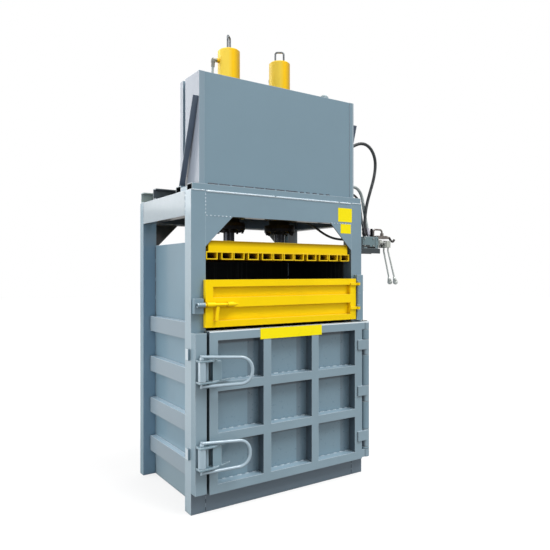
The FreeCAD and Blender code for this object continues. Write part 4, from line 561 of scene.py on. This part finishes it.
weld_grey = weld_finish("weld_grey", linear(190, 206, 216), linear(112, 130, 142))
# Near-white beads: painted highlight on the welds along the beam's top edge, the stitches and the
# chamber's rear corner.
weld_highlight = weld_finish("weld_highlight", linear(228, 240, 248), linear(160, 180, 192))
weld_dark = weld_finish("weld_dark", linear(58, 74, 88), linear(34, 44, 56))

door_seams = []
for left, right in DOOR_COLUMNS:
    for z in DOOR_LEDGES:
        door_seams.append(((left + 6, 1, z + 1), (right - 6, 1, z + 1), 0.032, 0.026))
# Each entry is its seams, the beads' radius, the finish and the body. A seam is its start, its
# end, the length of a bead and the gap after it.
SEAMS = {
    "door_welds": (door_seams, 0.0042, weld_grey, "main_door"),
    "beam_weld": ((((-598, 1, 2011), (598, 1, 2011), 0.5, 0.006),), 0.0072, weld_highlight, "frame"),
    "stitch_welds": ((((-POST_INNER, 0, 1870), (-POST_INNER, 0, 2004), 0.010, 0.014),
                      ((-598, 0, 1858), (-410, 0, 1858), 0.012, 0.014),
                      ((410, 0, 1858), (598, 0, 1858), 0.012, 0.014),
                      ((-690, 0, FRAME_TOP), (-604, 0, FRAME_TOP), 0.3, 0.01),
                      ((604, 0, FRAME_TOP), (690, 0, FRAME_TOP), 0.3, 0.01)), 0.0038,
                     weld_highlight, "frame"),
    "post_welds": ((((-POST_OUTER, REAR_POST_AT, 1862), (-POST_OUTER, REAR_POST_AT, 2010),
                     0.03, 0.006),
                    ((-POST_OUTER, POST_DEPTH, 1862), (-POST_OUTER, POST_DEPTH, 2010),
                     0.03, 0.012),
                    ((-640, POST_DEPTH, 1705), (-610, POST_DEPTH, 1705), 0.02, 0.02)), 0.0026,
                   weld_grey, "frame"),
    "tank_welds": ((((-575, 18, 2062), (90, 18, 2062), 0.075, 0.012),
                    ((90, 18, 2062), (420, 18, 2062), 0.035, 0.022)), 0.0056, weld_dark,
                   "frame"),
    "wall_seam": ((((-605, 822, 1160), (-605, 822, 1690), 0.13, 0.02),), 0.0036, weld_dark,
                  "frame"),
    "corner_weld": ((((598, 817, 1165), (598, 817, 1690), 0.3, 0.01),), 0.0058, weld_highlight,
                    "frame"),
    "foot_welds": ((((POST_INNER, 0, 6), (POST_INNER, 0, 114), 0.03, 0.006),
                    ((-POST_INNER, 0, 6), (-POST_INNER, 0, 114), 0.03, 0.02)), 0.0026,
                   weld_dark, "frame"),
}
for name, (runs, radius, finish_used, body) in SEAMS.items():
    piece(name, bead_mesh(name, runs, radius), finish_used, body)


# ---- plain yellow plates on the front beam -------------------------------

def plate_mesh(name, x0, x1, z0, z1, thickness, corner):
    """A thin sheet on the front plane with rounded corners."""
    bm = bmesh.new()
    outline = []
    centres = ((x1 - corner, z1 - corner, 0), (x0 + corner, z1 - corner, 90),
               (x0 + corner, z0 + corner, 180), (x1 - corner, z0 + corner, 270))
    for cx, cz, start in centres:
        for step in range(5):
            angle = math.radians(start + step * 22.5)
            outline.append(bm.verts.new(place(cx + corner * math.cos(angle), -0.2,
                                              cz + corner * math.sin(angle))))
    face = bm.faces.new(outline)
    moved = bmesh.ops.extrude_face_region(bm, geom=[face])["geom"]
    for vert in moved:
        if isinstance(vert, bmesh.types.BMVert):
            vert.co.y -= thickness / 1000
    bmesh.ops.recalc_face_normals(bm, faces=bm.faces)
    mesh = bpy.data.meshes.new(name)
    bm.to_mesh(mesh)
    bm.free()
    return mesh


for name, sizes in (("beam_plate_upper", (474, 606, 1872, 1973)),
                    ("beam_plate_lower", (498, 595, 1787, 1857))):
    piece(name, plate_mesh(name, *sizes, 0.6, 4), label_yellow, "frame")

# ---- plug and screws on the valve, necks of the lever knobs ---------------

def turned_mesh(name, items):
    """Round or hexagonal bars, each its start, end, radius at both in millimetres, and sides."""
    bm = bmesh.new()
    for start, end, first, last, sides in items:
        start, end = place(*start), place(*end)
        way = (end - start).normalized()
        side = way.cross(Vector((0.31, 0.83, 0.47))).normalized()
        other = way.cross(side)
        rings = []
        for centre, radius in ((start, first), (end, last)):
            rings.append([bm.verts.new(centre + (side * math.cos(math.tau * k / sides)
                                                 + other * math.sin(math.tau * k / sides))
                                       * radius / 1000) for k in range(sides)])
        for k in range(sides):
            after = (k + 1) % sides
            bm.faces.new((rings[0][k], rings[0][after], rings[1][after], rings[1][k]))
        bm.faces.new(rings[0][::-1])
        bm.faces.new(rings[1])
    bmesh.ops.recalc_face_normals(bm, faces=bm.faces)
    mesh = bpy.data.meshes.new(name)
    bm.to_mesh(mesh)
    bm.free()
    return mesh


VALVE_TOP = 1774
SPOOL_Z = 1735
PLUGS = [((915, 118, 1773), (915, 118, 1790), 15, 15, 6),
         ((915, 118, 1790), (915, 118, 1838), 11, 11, 16),
         ((915, 118, 1808), (915, 118, 1824), 14, 14, 6),
         ((915, 118, 1838), (915, 118, 1846), 11, 8, 16)]
SCREWS = []
for x in (790, 880, 932):
    for z in (1762, 1708):
        SCREWS.append(((x, 63, z), (x, 56, z), 6, 6, 6))
for at in LEVER_DEPTHS.values():
    SCREWS += [((945, at, SPOOL_Z), (957, at, SPOOL_Z), 27, 24, 20),
               ((985, at, SPOOL_Z), (996, at, SPOOL_Z), 19, 19, 6),
               ((1008, at, SPOOL_Z), (1017, at, SPOOL_Z), 16, 16, 6)]
for at in (72, 148):
    SCREWS.append(((922, at, VALVE_TOP), (922, at, VALVE_TOP + 9), 8, 8, 6))
piece("valve_plug", turned_mesh("valve_plug", PLUGS), black_steel, "frame")
piece("valve_screws", turned_mesh("valve_screws", SCREWS), plated, "frame")
LEVER_X = 1064
LEVER_STRAIGHT_END = 1668
BALL_Z = 1418
LEVER_LEANS = {"front": 82, "rear": 68}
for name, at in LEVER_DEPTHS.items():
    ball = Vector((LEVER_X + LEVER_LEANS[name], at, BALL_Z))
    top = Vector((LEVER_X, at, LEVER_STRAIGHT_END))
    start, end = ball + (top - ball) * 0.055, ball + (top - ball) * 0.19
    knob = turned_mesh("knob_neck_" + name, [(start, end, 17, 8, 20)])
    for face in knob.polygons:
        face.use_smooth = True
    piece("knob_neck_" + name, knob, lever_steel, "lever_" + name)

# ---- hoses ---------------------------------------------------------------

# The routes' ends are the ports. A hose starts and ends inside its fitting, one ferrule away.
FERRULE = 52
HOSE_RADIUS = 0.009
THICK_HOSE_RADIUS = 0.012
ROUTES = {
    "hose_arch": ((654, 140, 2432), (754, 127, 2493), (819, 122, 2512), (882, 120, 2500),
                  (929, 120, 2459), (956, 120, 2399), (958, 120, 2327), (940, 120, 2240),
                  (905, 120, 2146), (870, 120, 2050), (846, 119, 1946), (839, 118, 1795)),
    "hose_upper": ((654, 130, 2164), (754, 136, 2167), (800, 141, 2148), (837, 147, 2106),
                   (852, 148, 2046), (864, 147, 1975), (873, 136, 1900), (881, 118, 1795)),
    "hose_lower": ((651, 158, 2110), (754, 161, 2113), (800, 162, 2090), (830, 163, 2047),
                   (836, 160, 1993), (821, 133, 1930), (812, 108, 1870), (806, 82, 1792)),
    "hose_cross": ((334, 391, 1905), (426, 384, 1898), (479, 358, 1887), (520, 324, 1848),
                   (564, 292, 1806), (617, 262, 1774), (660, 228, 1760), (700, 186, 1756),
                   (761, 134, 1739)),
    "hose_cylinder_left": ((-346, 391, 3010), (-354, 393, 2860), (-360, 398, 2720),
                           (-366, 402, 2560), (-368, 403, 2400), (-364, 400, 2270),
                           (-357, 395, 2180), (-352, 391, 2053)),
    "hose_cylinder_right": ((220, 517, 3010), (221, 526, 2860), (224, 534, 2720),
                            (227, 541, 2560), (228, 542, 2400), (225, 537, 2270),
                            (221, 528, 2180), (220, 524, 2053)),
}
RADII = {"hose_arch": THICK_HOSE_RADIUS, "hose_upper": THICK_HOSE_RADIUS}
HOSE_FINISH = {"hose_upper": hose_grey, "hose_cylinder_left": hose_grey,
               "hose_cylinder_right": hose_grey}


def hose(name):
    """One hose on a smooth curve through its route, in place of its plain solid."""
    radius = RADII.get(name, HOSE_RADIUS)
    points = [place(*point) for point in ROUTES[name]]
    ends = [(points[1] - points[0]).normalized(), (points[-2] - points[-1]).normalized()]
    points[0] = points[0] + ends[0] * FERRULE / 1000
    points[-1] = points[-1] + ends[1] * FERRULE / 1000
    curve = bpy.data.curves.new(name + "_line", "CURVE")
    curve.dimensions = "3D"
    spline = curve.splines.new("NURBS")
    spline.points.add(len(points) - 1)
    for target, point in zip(spline.points, points):
        target.co = (*point, 1.0)
    spline.order_u = 3
    spline.use_endpoint_u = True
    curve.resolution_u = 10
    curve.bevel_depth = radius
    curve.bevel_resolution = 6
    curve.use_fill_caps = True
    thing = bpy.data.objects.new(name + "_line", curve)
    bpy.context.scene.collection.objects.link(thing)
    curve.materials.append(HOSE_FINISH.get(name, hose_black))
    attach(thing, "frame")
    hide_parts(name)


for name in ROUTES:
    hose(name)

# ---- floor, light and camera ---------------------------------------------

def floor():
    """Pale floor: white paper to the camera, a mid grey to every other ray."""
    bpy.ops.mesh.primitive_plane_add(size=60, location=(0, 0, -0.001))
    plane = bpy.context.object
    plane.name = "studio_floor"
    material = bpy.data.materials.new("studio_floor")
    material.use_nodes = True
    tree = material.node_tree
    links = tree.links
    shader = tree.nodes["Principled BSDF"]
    shader.inputs["Base Color"].default_value = (0.30, 0.30, 0.30, 1)
    shader.inputs["Roughness"].default_value = 0.9
    shader.inputs["Specular IOR Level"].default_value = 0.1
    paper = tree.nodes.new("ShaderNodeBsdfDiffuse")
    paper.inputs["Color"].default_value = (0.92, 0.92, 0.92, 1)
    glow = tree.nodes.new("ShaderNodeEmission")
    glow.inputs["Strength"].default_value = 1.0
    lit = tree.nodes.new("ShaderNodeMixShader")
    lit.inputs[0].default_value = 0.74
    path = tree.nodes.new("ShaderNodeLightPath")
    choose = tree.nodes.new("ShaderNodeMixShader")
    links.new(paper.outputs[0], lit.inputs[1])
    links.new(glow.outputs[0], lit.inputs[2])
    links.new(path.outputs["Is Camera Ray"], choose.inputs[0])
    links.new(shader.outputs[0], choose.inputs[1])
    links.new(lit.outputs[0], choose.inputs[2])
    links.new(choose.outputs[0], tree.nodes["Material Output"].inputs[0])
    plane.data.materials.append(material)


def world():
    """Bright overhead, dimmer towards the ground, and plain white where the camera sees it."""
    studio = bpy.data.worlds.new("studio")
    bpy.context.scene.world = studio
    studio.use_nodes = True
    tree = studio.node_tree
    links = tree.links
    tree.nodes.clear()
    out = tree.nodes.new("ShaderNodeOutputWorld")
    sky = tree.nodes.new("ShaderNodeBackground")
    seen = tree.nodes.new("ShaderNodeBackground")
    where = tree.nodes.new("ShaderNodeTexCoord")
    split = tree.nodes.new("ShaderNodeSeparateXYZ")
    ramp = tree.nodes.new("ShaderNodeMapRange")
    links.new(where.outputs["Generated"], split.inputs[0])
    links.new(split.outputs["Z"], ramp.inputs["Value"])
    ramp.inputs["From Min"].default_value = -0.1
    ramp.inputs["From Max"].default_value = 0.8
    ramp.inputs["To Min"].default_value = 0.70
    ramp.inputs["To Max"].default_value = 1.0
    links.new(ramp.outputs[0], sky.inputs["Strength"])
    sky.inputs["Color"].default_value = (1.0, 1.0, 1.0, 1)
    seen.inputs["Color"].default_value = (1, 1, 1, 1)
    seen.inputs["Strength"].default_value = 1.0
    path = tree.nodes.new("ShaderNodeLightPath")
    choose = tree.nodes.new("ShaderNodeMixShader")
    links.new(path.outputs["Is Camera Ray"], choose.inputs[0])
    links.new(sky.outputs[0], choose.inputs[1])
    links.new(seen.outputs[0], choose.inputs[2])
    links.new(choose.outputs[0], out.inputs[0])


def lamp(name, kind, energy, location, target, **extra):
    """A light at a place, aimed at a target."""
    data = bpy.data.lights.new(name, kind)
    data.energy = energy
    for key, value in extra.items():
        setattr(data, key, value)
    thing = bpy.data.objects.new(name, data)
    thing.location = location
    thing.rotation_euler = (Vector(target) - Vector(location)).to_track_quat("-Z", "Y").to_euler()
    bpy.context.scene.collection.objects.link(thing)


def camera():
    """The photo's view, solved from its edges."""
    data = bpy.data.cameras.new("photo_view")
    data.sensor_width = 36
    data.lens = 36.70
    data.shift_y = -0.0041
    data.clip_end = 100
    thing = bpy.data.objects.new("photo_view", data)
    thing.location = (-2.171, -3.6136, 1.4976)
    thing.rotation_euler = (math.radians(90), 0, math.radians(-33.431))
    bpy.context.scene.collection.objects.link(thing)
    bpy.context.scene.camera = thing


floor()
world()
lamp("key", "SUN", 2.4, (1.6, -2.4, 4.5), (0, 0, 0), angle=math.radians(28))
lamp("left_panel", "AREA", 110, (-4.6, 5.9, 4.6), (0, 0, 1.8), shape="RECTANGLE", size=4.0,
     size_y=3.8)
lamp("left_fill", "AREA", 148, (-5.2, 0.6, 0.8), (0, 0.3, 0.8), shape="RECTANGLE", size=4.0,
     size_y=2.4)
camera()
bpy.context.scene.view_settings.view_transform = "Standard"
